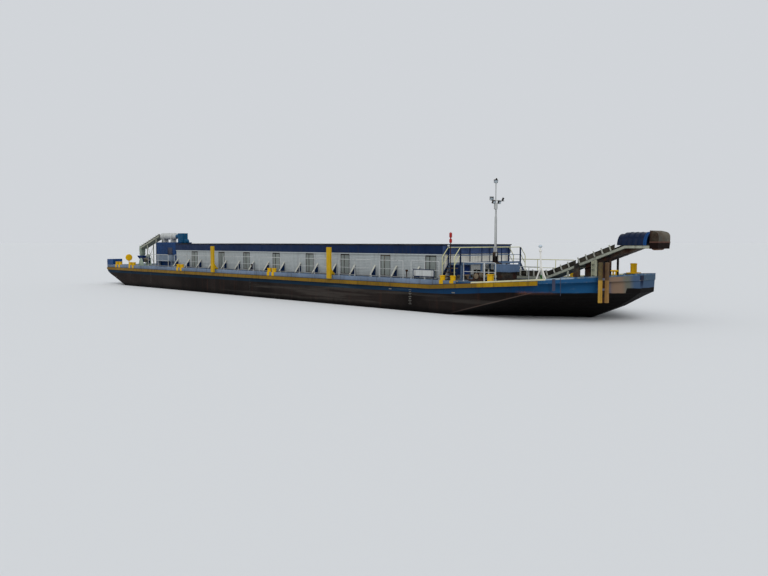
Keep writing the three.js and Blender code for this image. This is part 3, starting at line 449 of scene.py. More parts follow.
def painted(name, slot, colour, rust=0.25, streaks=0.4, fade=0.18, gloss=0.5, stain=GRIME, changes=(),
            axis=0, edges=None):
    """Weathered paint: broad fading, run-off streaks, chips down to rust and a fine orange peel.

    Each change is a place along the axis, in full-size metres, and the colour that starts there.
    Edges are the colour of upright faces, where it differs.
    """
    look = Look(name, slot)
    fading = look.ramp(look.noise(0.9, detail=3), 0.3, 0.7)
    base = look.mix(fading, shade(colour, 1 - fade), shade(colour, 1 + fade))
    for at, other in changes:
        there = look.ramp(look.metres()[axis], at - 0.05, at + 0.05)
        base = look.mix(there, base, look.mix(fading, shade(other, 1 - fade), shade(other, 1 + fade)))
    if edges:
        level = look.math("ABSOLUTE", look.axis("Z", look.normal))
        base = look.mix(look.ramp(level, 0.3, 0.7), nose_marks(look, edges, *look.metres()[:2]), base)
    mottle = look.ramp(look.noise(9, detail=8), 0.35, 0.75, (0.0, 0.35))
    base = look.mix(mottle, base, shade(colour, 0.72))
    base = look.layers(base, (look.noise(11, (1, 1, 0.07), 4), 0.5, 0.72, (0.0, streaks), stain))
    chips = look.ramp(look.noise(23, detail=9, rough=0.72), 0.62, 0.66)
    patches = look.ramp(look.noise(2.1, detail=3), 0.45, 0.62)
    worn = look.math("MULTIPLY", look.times(chips, patches), rust * 2.2, clamp=True)
    base = look.mix(worn, base, RUST)
    roughness = look.plus(look.times(worn, 0.35), look.ramp(mottle, 0, 0.35, (gloss, gloss + 0.2)))
    height = look.minus(look.times(look.noise(60, detail=2), 0.25), chips)
    return look.done(base, roughness, height, depth=0.0015, strength=0.5)


def bare_steel(name, slot, colour, rust=0.6, gloss=0.55):
    """Unpainted or thinly painted steel with rust blooms and dust."""
    look = Look(name, slot, metallic=0.25)
    blooms = look.ramp(look.noise(3.2, detail=8, rough=0.7), 0.42, 0.62, (0.0, rust))
    pits = look.noise(34, detail=7, rough=0.75)
    base = look.layers(look.mix(blooms, colour, RUST), (pits, 0.5, 0.7, (0.0, 0.6 * rust), DARK_RUST),
                       (look.noise(1.4, detail=4), 0.45, 0.75, (0.0, 0.35), DUST))
    return look.done(base, look.ramp(blooms, 0, rust + 0.01, (gloss, 0.88)), pits, depth=0.002)


def rubber(name, colour):
    """Black belt rubber with a film of stone dust and scuffs along its run."""
    look = Look(name, "belt_rubber")
    scuffs = look.noise(26, (0.15, 1, 1), 6)
    base = look.layers(colour, (look.noise(1.8), 0.35, 0.75, (0.05, 0.4), shade(DUST, 0.45)),
                       (scuffs, 0.55, 0.75, (0.0, 0.35), shade(DUST, 0.7)))
    return look.done(base, 0.82, scuffs, depth=0.001)


# The noises that the hull's layers share
Grain = namedtuple("Grain", "streaks scrapes speckle broad")


def hull_below(look, x, z, grain):
    """Black-brown, darker at the waterline and under the shoulder, with a weld along the shoulder."""
    start, slope = SHOULDER
    above = look.minus(z, look.times(look.minus(x, start), slope))
    weld = look.times(look.ramp(above, -0.01, 0.01), look.ramp(above, 0.04, 0.07, (1, 0)),
                      look.ramp(x, 32.5, 34.0, (0, 0.42)))
    lower = look.layers(
        (28, 25, 24),
        (grain.broad, 0.35, 0.65, (0, 1), (43, 38, 36)),
        (grain.streaks, 0.54, 0.74, (0, 0.35), (68, 44, 36)),
        (grain.scrapes, 0.54, 0.68, (0, 0.5), (72, 68, 64)),
        (grain.speckle, 0.6, 0.7, (0, 0.4), DARK_RUST),
        (x, 30.0, 36.0, (0, 0.35), (18, 14, 14)),
        (above, -0.02, 0.0, (0.85, 0), (24, 23, 23)),
    )
    lower = look.mix(weld, lower, (92, 80, 74))
    # Darker towards the waterline
    near_water = look.plus(z, look.times(grain.streaks, 0.25))
    return look.layers(lower, (near_water, 0.2, 0.6, (0.85, 0.0), (10, 10, 10)))


def hull_band(look, x, y, grain):
    """The blue band, brighter towards the bow."""
    blue = look.layers(
        (24, 38, 50),
        (x, 25.0, 35.0, (0, 1), (22, 52, 82)),
        (x, 39.0, 40.2, (0, 1), BOW_BLUE),
        (grain.broad, 0.35, 0.65, (0, 0.15), (44, 72, 96)),
        (grain.streaks, 0.54, 0.74, (0, 0.35), (30, 36, 42)),
        (grain.scrapes, 0.6, 0.7, (0, 0.3), (80, 96, 108)),
        (grain.speckle, 0.64, 0.7, (0, 0.45), RUST),
    )
    return nose_marks(look, blue, x, y)


def hull_look():
    """Blue above, black-brown below, scraped and streaked, with dusty rust inside the hold."""
    look = Look("hull_paint", "hull_paint", shine=0.04)
    x, y, z = look.metres()
    grain = Grain(
        streaks=look.noise(5.5, (1, 1, 0.06), 6), scrapes=look.noise(4.0, (0.05, 1, 1), 7),
        speckle=look.noise(30, detail=8, rough=0.7), broad=look.noise(0.5, detail=4),
    )

    # The band's lower edge is ragged and rises towards the bow
    rise, nose = BAND_EDGE["rise"], BAND_EDGE["nose"]
    edge = look.plus(look.ramp(x, *rise[:2], (BAND_EDGE["z"], BAND_EDGE["z"] + rise[2])),
                     look.ramp(x, *nose[:2], (0, nose[2])))
    ragged = look.plus(look.minus(z, edge), look.times(grain.scrapes, 0.12))
    below, band = hull_below(look, x, z, grain), hull_band(look, x, y, grain)
    outside = look.mix(look.ramp(ragged, 0.04, 0.075), below, band)

    # A patch below the bow's bulwark that ropes rubbed down to rust
    off_centre = look.math("ABSOLUTE", look.minus(z, 1.56))
    rubbed = look.times(
        look.ramp(x, 38.0, 38.5), look.ramp(x, 39.8, 40.3, (1, 0)),
        look.ramp(off_centre, 0.03, 0.14, (1, 0)), look.ramp(grain.speckle, 0.4, 0.6, (0.1, 0.75)),
    )
    outside = look.mix(rubbed, outside, (96, 66, 58))

    # The same solids line the hold
    aft, fore = HOLD["x"]
    within = look.times(look.math("LESS_THAN", look.math("ABSOLUTE", y), HOLD["half"]),
                        look.math("GREATER_THAN", z, HOLD["floor"]),
                        look.math("GREATER_THAN", x, aft), look.math("LESS_THAN", x, fore))
    hold = look.layers((112, 84, 62), (grain.streaks, 0.4, 0.7, (0, 1), (142, 124, 100)),
                       (grain.speckle, 0.5, 0.68, (0, 0.6), DARK_RUST))
    height = look.plus(look.times(grain.scrapes, 0.5), look.times(grain.speckle, 0.3))
    colour = look.mix(within, outside, hold)
    return look.done(colour, look.ramp(grain.speckle, 0.3, 0.7, (0.5, 0.78)), height, depth=0.004)


def bulwark_look():
    """The bow's bulwark carries on the hull's blue, lighter where mooring ropes rubbed it."""
    look = Look("bulwark_blue", "blue_paint")
    x, y, _ = look.metres()
    rubbed = look.noise(6, (0.2, 1, 1), 7)
    colour = look.layers((50, 78, 100), (x, 39.0, 40.2, (0, 1), BOW_BLUE))
    colour = look.layers(
        nose_marks(look, colour, x, y),
        (look.noise(5.5, (1, 1, 0.06), 6), 0.54, 0.74, (0, 0.35), (36, 42, 48)),
        (rubbed, 0.6, 0.7, (0, 0.35), (96, 108, 116)),
        (look.noise(26, detail=9, rough=0.72), 0.63, 0.67, (0, 0.7), RUST),
    )
    return look.done(colour, 0.55, rubbed, depth=0.002)


def rope_look(name, colour):
    """Strands that twist round the line they follow."""
    look = Look(name, "dark_steel")
    strands = look.noise(42, (1, 0.25, 1), 4)
    colour = look.layers(shade(colour, 0.5), (strands, 0.35, 0.7, (0, 1), shade(colour, 1.15)))
    return look.done(colour, 0.9, strands, depth=0.004, strength=1.0)


def glass_look():
    """Lamp glass: grey-blue, slightly dusty."""
    look = Look("lamp_glass", "white_paint")
    dusty = look.noise(14)
    colour = look.layers((176, 188, 196), (dusty, 0.4, 0.7, (0, 1), (120, 128, 130)))
    look.shader.inputs["Coat Weight"].default_value = 0.6
    return look.done(colour, look.ramp(dusty, 0.4, 0.7, (0.08, 0.35)))


HULL = hull_look()
BULWARK_BLUE = bulwark_look()

# Blues of the decks, the machines and the hold's band
DECK = painted("deck_blue", "deck_paint", (90, 106, 124), 0.3, 0.3, 0.22, 0.6, DUST, edges=BOW_BLUE)
GUNWALE_BLUE = painted("gunwale_blue", "deck_paint", (99, 113, 132), rust=0.35, streaks=0.5, fade=0.2)
CABINET_BLUE = painted("cabinet_blue", "deck_paint", (88, 108, 134), rust=0.15, streaks=0.35)
CAPPING = painted("bulwark_capping", "blue_paint", (206, 204, 170), rust=0.2, streaks=0.3, fade=0.06,
                  changes=((39.95, (120, 140, 160)), (41.0, BOW_BLUE)))
CHAFED = painted("chafed_blue", "blue_paint", (62, 66, 84), rust=0.9, streaks=0.6)
BLUE = painted("machine_blue", "blue_paint", (26, 66, 114), rust=0.15, streaks=0.35)
BRIGHT_BLUE = painted("bright_blue", "blue_paint", (16, 72, 106), rust=0.15, streaks=0.3)
HOOD_BLUE = painted("hood_blue", "blue_paint", (14, 30, 54), rust=0.15, streaks=0.2, gloss=0.3)
POWER_BLUE = painted("power_unit_blue", "blue_paint", (12, 46, 98), rust=0.1, streaks=0.25)
NAVY = painted("navy_paint", "navy_paint", (5, 34, 66), 0.08, 0.28, 0.12, 0.42)
# Painted light: from the fore end on, the band is a lighter blue, for the light on its bow-facing face
BAND = painted("coaming_navy_lit_fore", "navy_paint", (5, 34, 66), 0.08, 0.28, 0.12, 0.42,
               changes=((31.97, (62, 80, 118)),))
HOUSE_BLUE = painted("house_blue", "navy_paint", (14, 52, 94), rust=0.08, streaks=0.25)

# Whites and greys
WHITE = painted("white_paint", "white_paint", (178, 180, 178), rust=0.18, streaks=0.5, fade=0.06)
WALL = painted("wall_white", "white_paint", (162, 167, 167), 0.06, 0.3, 0.05, stain=(116, 118, 114))
# Painted light: the fore wall takes a lighter white than the side walls, for the light on its bow-facing
# face
FORE_WALL_LIT = painted("fore_wall_lit_white", "white_paint", (224, 222, 212), rust=0.1, fade=0.08)
PANEL = painted("panel_grey", "white_paint", (126, 132, 128), rust=0.03, streaks=0.15, fade=0.08)
BRACKET = painted("bracket_white", "white_paint", (184, 184, 172), rust=0.3, fade=0.08)
PALE_RAIL = painted("pale_rail", "white_paint", (196, 194, 150), rust=0.15, streaks=0.2, fade=0.06)
SIGNAL_WHITE = painted("signal_mast_white", "white_paint", (214, 212, 204), 0.1, 0.2, 0.04)
SWITCH_GREY = painted("switch_cabinet_grey", "white_paint", (108, 120, 134), rust=0.1, streaks=0.3)
TICKS = painted("tick_paint", "white_paint", (58, 55, 52), 0.1, 0.3, changes=((20.0, (120, 118, 112)),))

# Yellows and the red of the signal shapes
YELLOW = painted("yellow_paint", "yellow_paint", (198, 154, 18), 0.3, 0.35, 0.1, stain=(110, 84, 30))
FENDER_YELLOW = painted("fender_yellow", "yellow_paint", (178, 142, 26), 0.35, 0.35, 0.1,
                        stain=(104, 80, 30))
OCHRE = painted("strake_ochre", "yellow_paint", (118, 90, 26), 0.4, 0.55, 0.16, stain=(60, 50, 30),
                changes=((35.5, (152, 118, 14)),))
POST_OCHRE = painted("guide_post_ochre", "yellow_paint", (176, 138, 60), rust=0.5, axis=2,
                     changes=((2.3, (80, 72, 54)),))
POST_TAN = painted("guide_post_tan", "yellow_paint", (136, 104, 62), rust=0.5, axis=2,
                   changes=((2.3, (86, 68, 52)),))
RED = painted("signal_red", "yellow_paint", (150, 40, 38), rust=0.1, streaks=0.2)

# Machines
CONVEYOR = painted("conveyor_grey", "conveyor_steel", (150, 152, 138), 0.35, 0.4, 0.12, 0.6)
GREEN = painted("machine_green", "machine_paint", (138, 152, 138), rust=0.3, gloss=0.55)
LEG = painted("support_grey_green", "machine_paint", (168, 169, 148), rust=0.2, streaks=0.3)
SIDE_GREEN = painted("side_light_green", "machine_paint", (30, 96, 36), rust=0.1, streaks=0.2)
MAROON = painted("oxide_red", "rusty_steel", (26, 15, 12), 0.2, 0.2, 0.1, 0.75, (20, 14, 12))
HEAD_RIM = painted("head_rim", "rusty_steel", (84, 60, 52), rust=0.4, streaks=0.3, gloss=0.7)
HEAD_TOP = bare_steel("head_cover_steel", "rusty_steel", (70, 68, 62), rust=0.2, gloss=0.7)
HEAD_RUST = bare_steel("head_rust", "rusty_steel", (34, 24, 19), rust=0.18, gloss=0.75)
HOLD_STEEL = bare_steel("hold_steel", "rusty_steel", (128, 106, 84), rust=0.75, gloss=0.8)
RUSTY = bare_steel("rusty_steel", "rusty_steel", (104, 74, 58), rust=0.85, gloss=0.75)
DARK = bare_steel("dark_steel", "dark_steel", (30, 30, 32), rust=0.35)
GREY = bare_steel("galvanised", "dark_steel", (132, 136, 138), rust=0.2, gloss=0.45)
BEIGE = bare_steel("worn_cover", "machine_paint", (142, 132, 112), rust=0.45, gloss=0.7)
RUBBER = rubber("belt_rubber", (34, 34, 35))
BLACK = rubber("black_rubber", (20, 20, 21))
ROPE = rope_look("wire_rope", (110, 104, 92))
GLASS = glass_look()


def dress_hull():
    dress(HULL, "hull_stern", "hull_bow", "hull_bottom", "hull_ramp", *both_sides("hull_side"))
    dress(DECK, "main_deck", "fore_deck")
    dress(BULWARK_BLUE, "bow_bulwark")
    dress(OCHRE, *both_sides("strake"), bevel=0.015)
    seams, seam_y = Shape(), (-HALF_BEAM - 0.007, -HALF_BEAM + 0.01)
    for x in row(-7.0, 6.0, 7):
        seams.box(span(x, 0.01), seam_y, (-0.4, 1.48))
    for fore, z in ((34.5, 0.48), (36.4, 1.0)):
        seams.box((-9.5, fore), seam_y, span(z, 0.01))
    seams.mirrored().make("hull_seams", HULL)
    ticks, tick_y = Shape(), (-HALF_BEAM - 0.005, -HALF_BEAM + 0.01)
    for x in (-3.1, 13.0, 30.23):
        for i, z in enumerate(row(0.45, 0.11, 9)):
            ticks.box(span(x, 0.08 if i % 2 else 0.12), tick_y, (z, z + 0.025))
    for x in (28.5, 33.7):
        ticks.box(span(x, 0.12), tick_y, (1.3, 1.36))
    ticks.mirrored().make("draught_ticks", TICKS)


def make_bulwark_trim():
    section = ((-0.07, -0.08), (0.006, -0.08), (0.006, 0), (-0.07, 0))
    caps = Shape().loft([[(x, y + a, z + b) for a, b in section]
                         for x, y, z in ((35.0, 4.75, 2.025), (39.9, 4.75, 2.375), (43.5, 0.9, 2.625))])
    caps.mirrored().box((43.43, 43.506), (-0.9, 0.9), (2.55, 2.625))
    caps.make("bulwark_capping", CAPPING)
    plates = Shape()
    along = Vector((3.6, 3.85, 0)).normalized()
    for x, width, low, high in ((40.2, 0.17, 1.72, 2.36), (40.5, 0.03, 1.46, 2.4)):
        corner = (x, -height_at([(39.9, 4.75), (NOSE_X, 0.9)], x), low)
        plates.block(corner, along * width, (0.008, -0.008, 0), (0, 0, high - low))
    plates.mirrored().make("bow_chafe_plates", CHAFED)
    stays = Shape()
    for x in row(35.3, 0.9, 6):
        deck, top = deck_at(x), height_at(BULWARK, x) - 0.02
        stays.prism("YZ", [(-4.69, deck), (-4.69, top), (-4.66, top), (-4.4, deck)], span(x, 0.01))
    stays.mirrored().make("bulwark_stays", BULWARK_BLUE)


def make_gunwale(side):
    rings = []
    for x in (STERN_X, 32.0, 33.9):
        low, high = height_at(STRAKE_TOP, x) + 0.02, 2.04
        rings.append([(x, y, z) for y, z in (
            (4.751, low), (4.785, low), (4.8, low + 0.03), (4.8, high - 0.03), (4.785, high), (4.7, high),
            (4.7, DECK_Z), (4.751, DECK_Z),
        )])
    Shape(side).loft(rings).make("gunwale_rail", GUNWALE_BLUE, "gunwale")
    stern, rail_x = Shape(side), STERN_X + 0.035
    stern.box((STERN_X, STERN_X + 0.06), (3.2, 4.8), (DECK_Z, 2.55))
    stern.box((STERN_X, STERN_X + 1.3), (4.74, 4.8), (DECK_Z, 2.55))
    stern.tube([(rail_x, 3.2, 2.54), (rail_x, 4.765, 2.54), (-10.9, 4.765, 2.54)], 0.032)
    stern.box((-11.5, -11.48), (4.4, 4.74), (DECK_Z, 2.5))
    stern.make("stern_bulwark", BLUE, "gunwale")
    posts = Shape(side)
    for x in BOLLARD_X:
        foot = height_at(STRAKE_TOP, x + 0.16) + 0.03
        posts.lathe([(0.17, foot), (0.16, foot + 0.04), (0.16, 2.27), (0.185, 2.285), (0.19, 2.31),
                     (0.18, 2.335), (0.1, 2.34)], (x, BOLLARD_Y, 0), sides=24)
        posts.box(span(x, 0.22), (4.3, 4.74), (DECK_Z, DECK_Z + 0.022))
        posts.box(span(x, 0.15), (4.79, 4.82), (foot, 2.05))
    posts.make("bollards", YELLOW, "gunwale")
    fore = Shape(side).box((36.12, 36.44), (4.48, 4.68), (ON_DECK, 2.46))
    fore.box((36.08, 36.48), (4.45, 4.71), (2.45, 2.5))
    fore.make("fore_bollard_post", YELLOW, "fore_bollard", bevel=0.012)


def make_fender_posts(side):
    section = (
        (-0.2, 4.87), (-0.2, 5.0), (-0.185, 5.02), (0.185, 5.02), (0.2, 5.0), (0.2, 4.87),
        (0.175, 4.87), (0.175, 4.995), (-0.175, 4.995), (-0.175, 4.87),
    )
    for name, x in (("aft", 7.95), ("fore", 22.75)):
        post = Shape(side).prism("XY", [(x + a, b) for a, b in section], (1.79, 3.98))
        for z in (1.8, 2.1, 2.9, 3.95):
            post.box(span(x, 0.18), (4.88, 5.0), (z, z + 0.02))
        post.box(span(x, 0.12), (4.52, 4.94), (2.1, 2.2))
        post.box(span(x, 0.12), (4.52, 4.62), (DECK_Z, DECK_Z + 0.12))
        for edge in (x - 0.12, x + 0.1):
            post.prism("YZ", [(4.62, 2.2), (4.88, 2.2), (4.88, 2.62)], (edge, edge + 0.02))
        post.bolts([(at, 5.005, z) for at in span(x, 0.09) for z in (1.95, 2.15, 3.8)], PORT)
        post.make(f"fender_channel_{name}", FENDER_YELLOW, f"fender_post_{name}", bevel=0.004)


def siding(shape, x, pitch=0.105):
    """A ribbed wall sheet on the starboard side between two places."""
    low, high = WALL_Z
    count = round((high - low) / pitch)
    step = (high - low) / count
    outline = [(-3.56, low)]
    for z in row(low, step, count):
        outline += [(-3.583, z), (-3.6, z + 0.12 * step)]
        outline += [(-3.6, z + 0.72 * step), (-3.583, z + 0.84 * step)]
    shape.prism("YZ", [*outline, (-3.583, high), (-3.56, high)], x)


def make_coaming():
    edges = [COAMING_X[0], *(x for recess in RECESSES for x in recess), COAMING_X[1]]
    wall = Shape().box(COAMING_X, (-3.575, -3.47), (ON_DECK, 3.579))
    wall.box(COAMING_X, (-3.6, -3.56), (2.06, 2.1))
    wall.box(COAMING_X, (-3.648, -3.56), (3.5, 3.575))
    for aft, fore in zip(edges[::2], edges[1::2]):
        siding(wall, (aft, fore))
        joints = int((fore - aft) / 1.3)
        for i in range(1, joints):
            wall.box(span(aft + (fore - aft) * i / joints, 0.008), (-3.606, -3.58), WALL_Z)
    panels, frames = Shape(), Shape()
    for aft, fore in RECESSES:
        panels.box((aft, fore), (-3.582, -3.56), WALL_Z)
        for z in row(2.2, 0.14, 9):
            panels.box((aft + 0.05, fore - 0.05), (-3.588, -3.57), (z, z + 0.02))
        for z in ((3.42, 3.5), (2.1, 2.13)):
            frames.box((aft, fore), (-3.604, -3.57), z)
        for x in (aft, aft + 0.38 * (fore - aft), fore - 0.035):
            frames.box((x, x + 0.035), (-3.606, -3.57), WALL_Z)
    walls = both_sides("coaming")
    wall.mirrored().make("coaming_siding", WALL, *walls, smooth=20)
    panels.mirrored().make("coaming_panels", PANEL, *walls)
    frames.mirrored().make("coaming_frames", DARK, *walls)
    dress(WALL, "coaming_aft")
    # The fore wall's lighter white and the band's lighter blue fore face are painted light
    dress(FORE_WALL_LIT, "coaming_fore")
    dress(BAND, "coaming_band", bevel=0.012)
    overhang, width = 0.104, 0.26
    aft, fore, half = COAMING_X[0] - overhang, COAMING_X[1] + overhang, COAMING_HALF + overhang
    capping = Shape().box((aft, fore), (half, half - width), (4.135, 4.192)).mirrored()
    for x in (aft, fore - width):
        capping.box((x, x + width), (-half, half), (4.135, 4.191))
    capping.make("coaming_capping", BLACK, slot="dark_steel", bevel=0.012)
    laps = Shape()
    for x in row(1.5, 2.9, 11):
        laps.box(span(x, 0.03), (-3.656, -3.64), (3.6, 4.13))
    laps.mirrored().make("band_laps", NAVY)
    ribs = Shape().box((0, 31.6), (-3.47, -3.38), (2.9, 2.93))
    for x in row(0.6, BRACKET_PITCH, BRACKET_COUNT):
        ribs.box(span(x, 0.015), (-3.47, -3.4), (2.01, 3.57))
    ribs.mirrored().make("hold_stiffeners", HOLD_STEEL)


def make_brackets(side):
    places = row(0, BRACKET_PITCH, BRACKET_COUNT)
    webs, flanges = Shape(side), Shape(side)
    webs.box((-0.2, places[-1] + 0.2), (3.601, 3.701), (ON_DECK, 2.031))
    for x in places:
        webs.prism("YZ", [(3.601, ON_DECK), (4.15, ON_DECK), (3.601, 2.78)], span(x, 0.012))
        flanges.prism("YZ", [(4.15, ON_DECK), (4.19, ON_DECK), (4.19, 2.05), (3.64, 2.78), (3.601, 2.78),
                             (3.601, 2.74), (4.15, 2.03)], span(x, 0.055))
        flanges.box(span(x, 0.11), (4.08, 4.22), (ON_DECK, 2.021))
    webs.make("bracket_webs", NAVY, "coaming_brackets")
    flanges.make("bracket_flanges", BRACKET, "coaming_brackets", bevel=0.005)


def guard_rail(shape, ends, y, posts, heights=RAIL_HEIGHTS, thick=1.0):
    """A rail along the deck: a bent outer tube, middle bars and posts on feet."""
    top = DECK_Z + heights[-1]
    aft, fore = ends
    corners = [(aft, y, DECK_Z), (aft, y, top), (fore, y, top), (fore, y, DECK_Z)]
    shape.tube(rounded(corners, 0.09), RAIL_R * 0.75 * thick)
    for height in heights[:-1]:
        shape.tube([(x, y, DECK_Z + height) for x in ends], RAIL_R * 0.55 * thick, sides=6)
    places = spread(aft, fore, posts)
    for x in places[1:-1]:
        shape.tube([(x, y, DECK_Z), (x, y, top)], RAIL_R * 0.8 * thick, sides=6)
    for x in places:
        shape.lathe([(0.062, 0.028), (0.062, 0.042), (0.034, 0.055)], (x, y, DECK_Z), sides=8)


def make_side_rails(side):
    starboard = side == "starboard"
    foot = Shape(side).box((-4.3, 36.6), span(RAIL_Y, 0.05), (ON_DECK, 2.03))
    foot.make("rail_foot", DECK, "side_rail", bevel=0.006)
    bars, bow = Shape(side), Shape(side)
    for aft, fore, posts in RAIL_SECTIONS:
        guard_rail(bars, (aft, fore), RAIL_Y, posts)
    for aft, fore, posts in RAIL_FORE[side]:
        guard_rail(bow, (aft, fore), RAIL_Y, posts, thick=1.2)
    if starboard:
        bow.tube([(35.71, RAIL_Y, 2.0), (35.71, RAIL_Y, 3.17)], 0.045, sides=10)
    bow.make("side_rail_bow", WHITE if starboard else PALE_RAIL, "side_rail")
    bars.make("side_rail_bars", WHITE, "side_rail")
    board = Shape(side).box((30.2, 31.9), span(RAIL_Y, 0.012), (2.2, 2.62))
    board.make("name_board", WHITE, "side_rail")
    border = Shape(side)
    for x in ((30.18, 30.22), (31.88, 31.92)):
        border.box(x, span(RAIL_Y, 0.028), (2.18, 2.64))
    for z in ((2.18, 2.22), (2.6, 2.64)):
        border.box((30.18, 31.92), span(RAIL_Y, 0.028), z)
    inboard = RAIL_Y - (0.02 if starboard else 0.01)
    for x in (30.25, 31.8):
        border.box((x, x + 0.05), (inboard, inboard + 0.03), (ON_DECK, 2.6))
    border.make("name_board_frame", NAVY, "side_rail", bevel=0.004)


def make_signal_pole():
    x, y = 33.2, -RAIL_Y
    pole = Shape().tube([(x, y, 2.0), (x, y, 4.3)], RAIL_R, sides=10)
    pole.make("signal_pole", DARK, "side_rail_starboard")
    shapes = Shape().lathe([(0.03, 4.28), (0.085, 4.31), (0.085, 4.5), (0.04, 4.53), (0.04, 4.6),
                            (0.085, 4.63), (0.085, 4.86), (0.03, 4.92)], (x, y, 0))
    shapes.make("signal_shapes", RED, "side_rail_starboard")


def make_catwalk():
    aft, fore, half = 32.06, 33.1, 3.25
    step_y = (-0.3, 0.3)
    steel = Shape().box((33.04, 33.54), step_y, (2.94, 2.97))
    for x in (aft, fore - 0.06):
        steel.box((x, x + 0.06), (-half, half), (2.93, 3.0))
    for y in (-half, half - 0.06):
        steel.box((aft, fore), (y, y + 0.06), (2.93, 3.0))
    for y in spread(-half, half, 9)[1:-1]:
        steel.box((aft, fore), span(y, 0.02), (2.94, 2.96))
    for y in (-3.15, -1.1, 1.1, 3.15):
        for x in (aft + 0.05, fore - 0.05):
            steel.box(span(x, 0.05), span(y, 0.05), (ON_DECK, 2.98))
            steel.box(span(x, 0.09), span(y, 0.09), (ON_DECK, 2.02))
    steel.make("catwalk_frame", CABINET_BLUE, "catwalk", bevel=0.005)
    grate, bar = Shape(), 0.003
    for x in spread(aft + 0.02, fore - 0.02, 27):
        grate.box(span(x, bar), (0.05 - half, half - 0.05), (2.965, 3.0))
    for y in spread(0.06 - half, half - 0.06, 62):
        grate.box((aft + 0.02, fore - 0.02), span(y, bar), (2.98, 2.998))
    for x in spread(33.11, 33.53, 12):
        grate.box(span(x, bar), step_y, (2.97, 3.0))
    grate.make("catwalk_grating", GREY, "catwalk")
    tops, middles, posts = Shape(), Shape(), Shape()
    end = half - 0.03
    for x in (aft + 0.05, fore - 0.05):
        tops.tube(rounded([(x, -end, 3.9), (x, -end, 4.0), (x, end, 4.0), (x, end, 3.9)], 0.05), RAIL_R)
        middles.tube([(x, -half, 3.5), (x, half, 3.5)], RAIL_R * 0.7, sides=6)
        middles.box(span(x, 0.004), (-half, half), (3.0, 3.05))
        for y in spread(-end, end, 4):
            posts.tube([(x, y, 2.96), (x, y, 3.98)], RAIL_R * 1.15)
    tops.make("catwalk_handrails", PALE_RAIL, "catwalk")
    middles.make("catwalk_mid_rails", CABINET_BLUE, "catwalk")
    posts.make("catwalk_posts", NAVY, "catwalk")


def make_stairs(side):
    strings, treads, rails = Shape(side), Shape(side), Shape(side)
    for start in (32.08, 33.03):
        strings.prism("YZ", [(3.28, 3.0), (3.28, 2.75), (3.8, ON_DECK), (4.05, ON_DECK), (4.05, 2.05)],
                      (start + 0.015, start + 0.035))
        strings.prism("YZ", [(3.28, 3.0), (3.28, 2.975), (4.05, 2.02), (4.05, 2.05)],
                      (start, start + 0.05))
        x = start + 0.025
        strings.tube([(x, 3.31, 2.9), (x, 3.31, 4.0)], RAIL_R)
        rails.tube(rounded([(x, 3.31, 3.98), (x, 3.85, 3.42), (x, 3.85, ON_DECK)], 0.08), RAIL_R)
        rails.tube([(x, 3.31, 3.5), (x, 3.85, 2.9)], RAIL_R * 0.8, sides=6)
    for y, z in zip(row(3.28, 0.2233, 3), row(2.75, -0.25, 3)):
        for edge in (y + 0.02, y + 0.22):
            treads.box((32.1, 33.06), (edge, edge + 0.012), (z - 0.05, z))
        for bar in row(y + 0.03, 0.018, 11):
            treads.box((32.1, 33.06), (bar, bar + 0.005), (z - 0.03, z))
    strings.make("stair_strings", NAVY, "catwalk_stair")
    treads.make("stair_treads", DARK, "catwalk_stair")
    rails.make("stair_rails", PALE_RAIL, "catwalk_stair")


def make_stair_lamp():
    lamp = Shape().lathe([(0.03, 4.0), (0.04, 4.03), (0.07, 4.06), (0.08, 4.1), (0.07, 4.14), (0.03, 4.17)],
                         (32.11, -3.28, 0))
    lamp.make("stair_lamp", WHITE)


def floodlight(body, glass, at, facing, tilt=25):
    """A housing with cooling fins, a yoke and a glass front, turned towards a heading."""
    turn, dip = math.radians(facing), math.radians(tilt)
    ahead = Vector((math.cos(turn) * math.cos(dip), math.sin(turn) * math.cos(dip), -math.sin(dip)))
    side = Vector((-math.sin(turn), math.cos(turn), 0))
    up = ahead.cross(side)
    centre = Vector(at)
    width, height, depth, rim = 0.24, 0.18, 0.09, 0.015
    corner = centre - side * width / 2 - up * height / 2 - ahead * depth / 2
    body.block(corner, ahead * depth, side * width, up * height)
    for along in row(0.02, 0.045, 5):
        body.block(corner + side * along - ahead * 0.03, ahead * 0.03, side * 0.01, up * height)
    glass.block(corner + ahead * depth + (side + up) * rim, ahead * 0.006, side * (width - 2 * rim),
                up * (height - 2 * rim))
    arm, rise = side * (width / 2 + 0.01), Vector((0, 0, 0.13))
    body.tube([centre - arm, centre - arm + rise, centre + arm + rise, centre + arm], 0.008, sides=5)


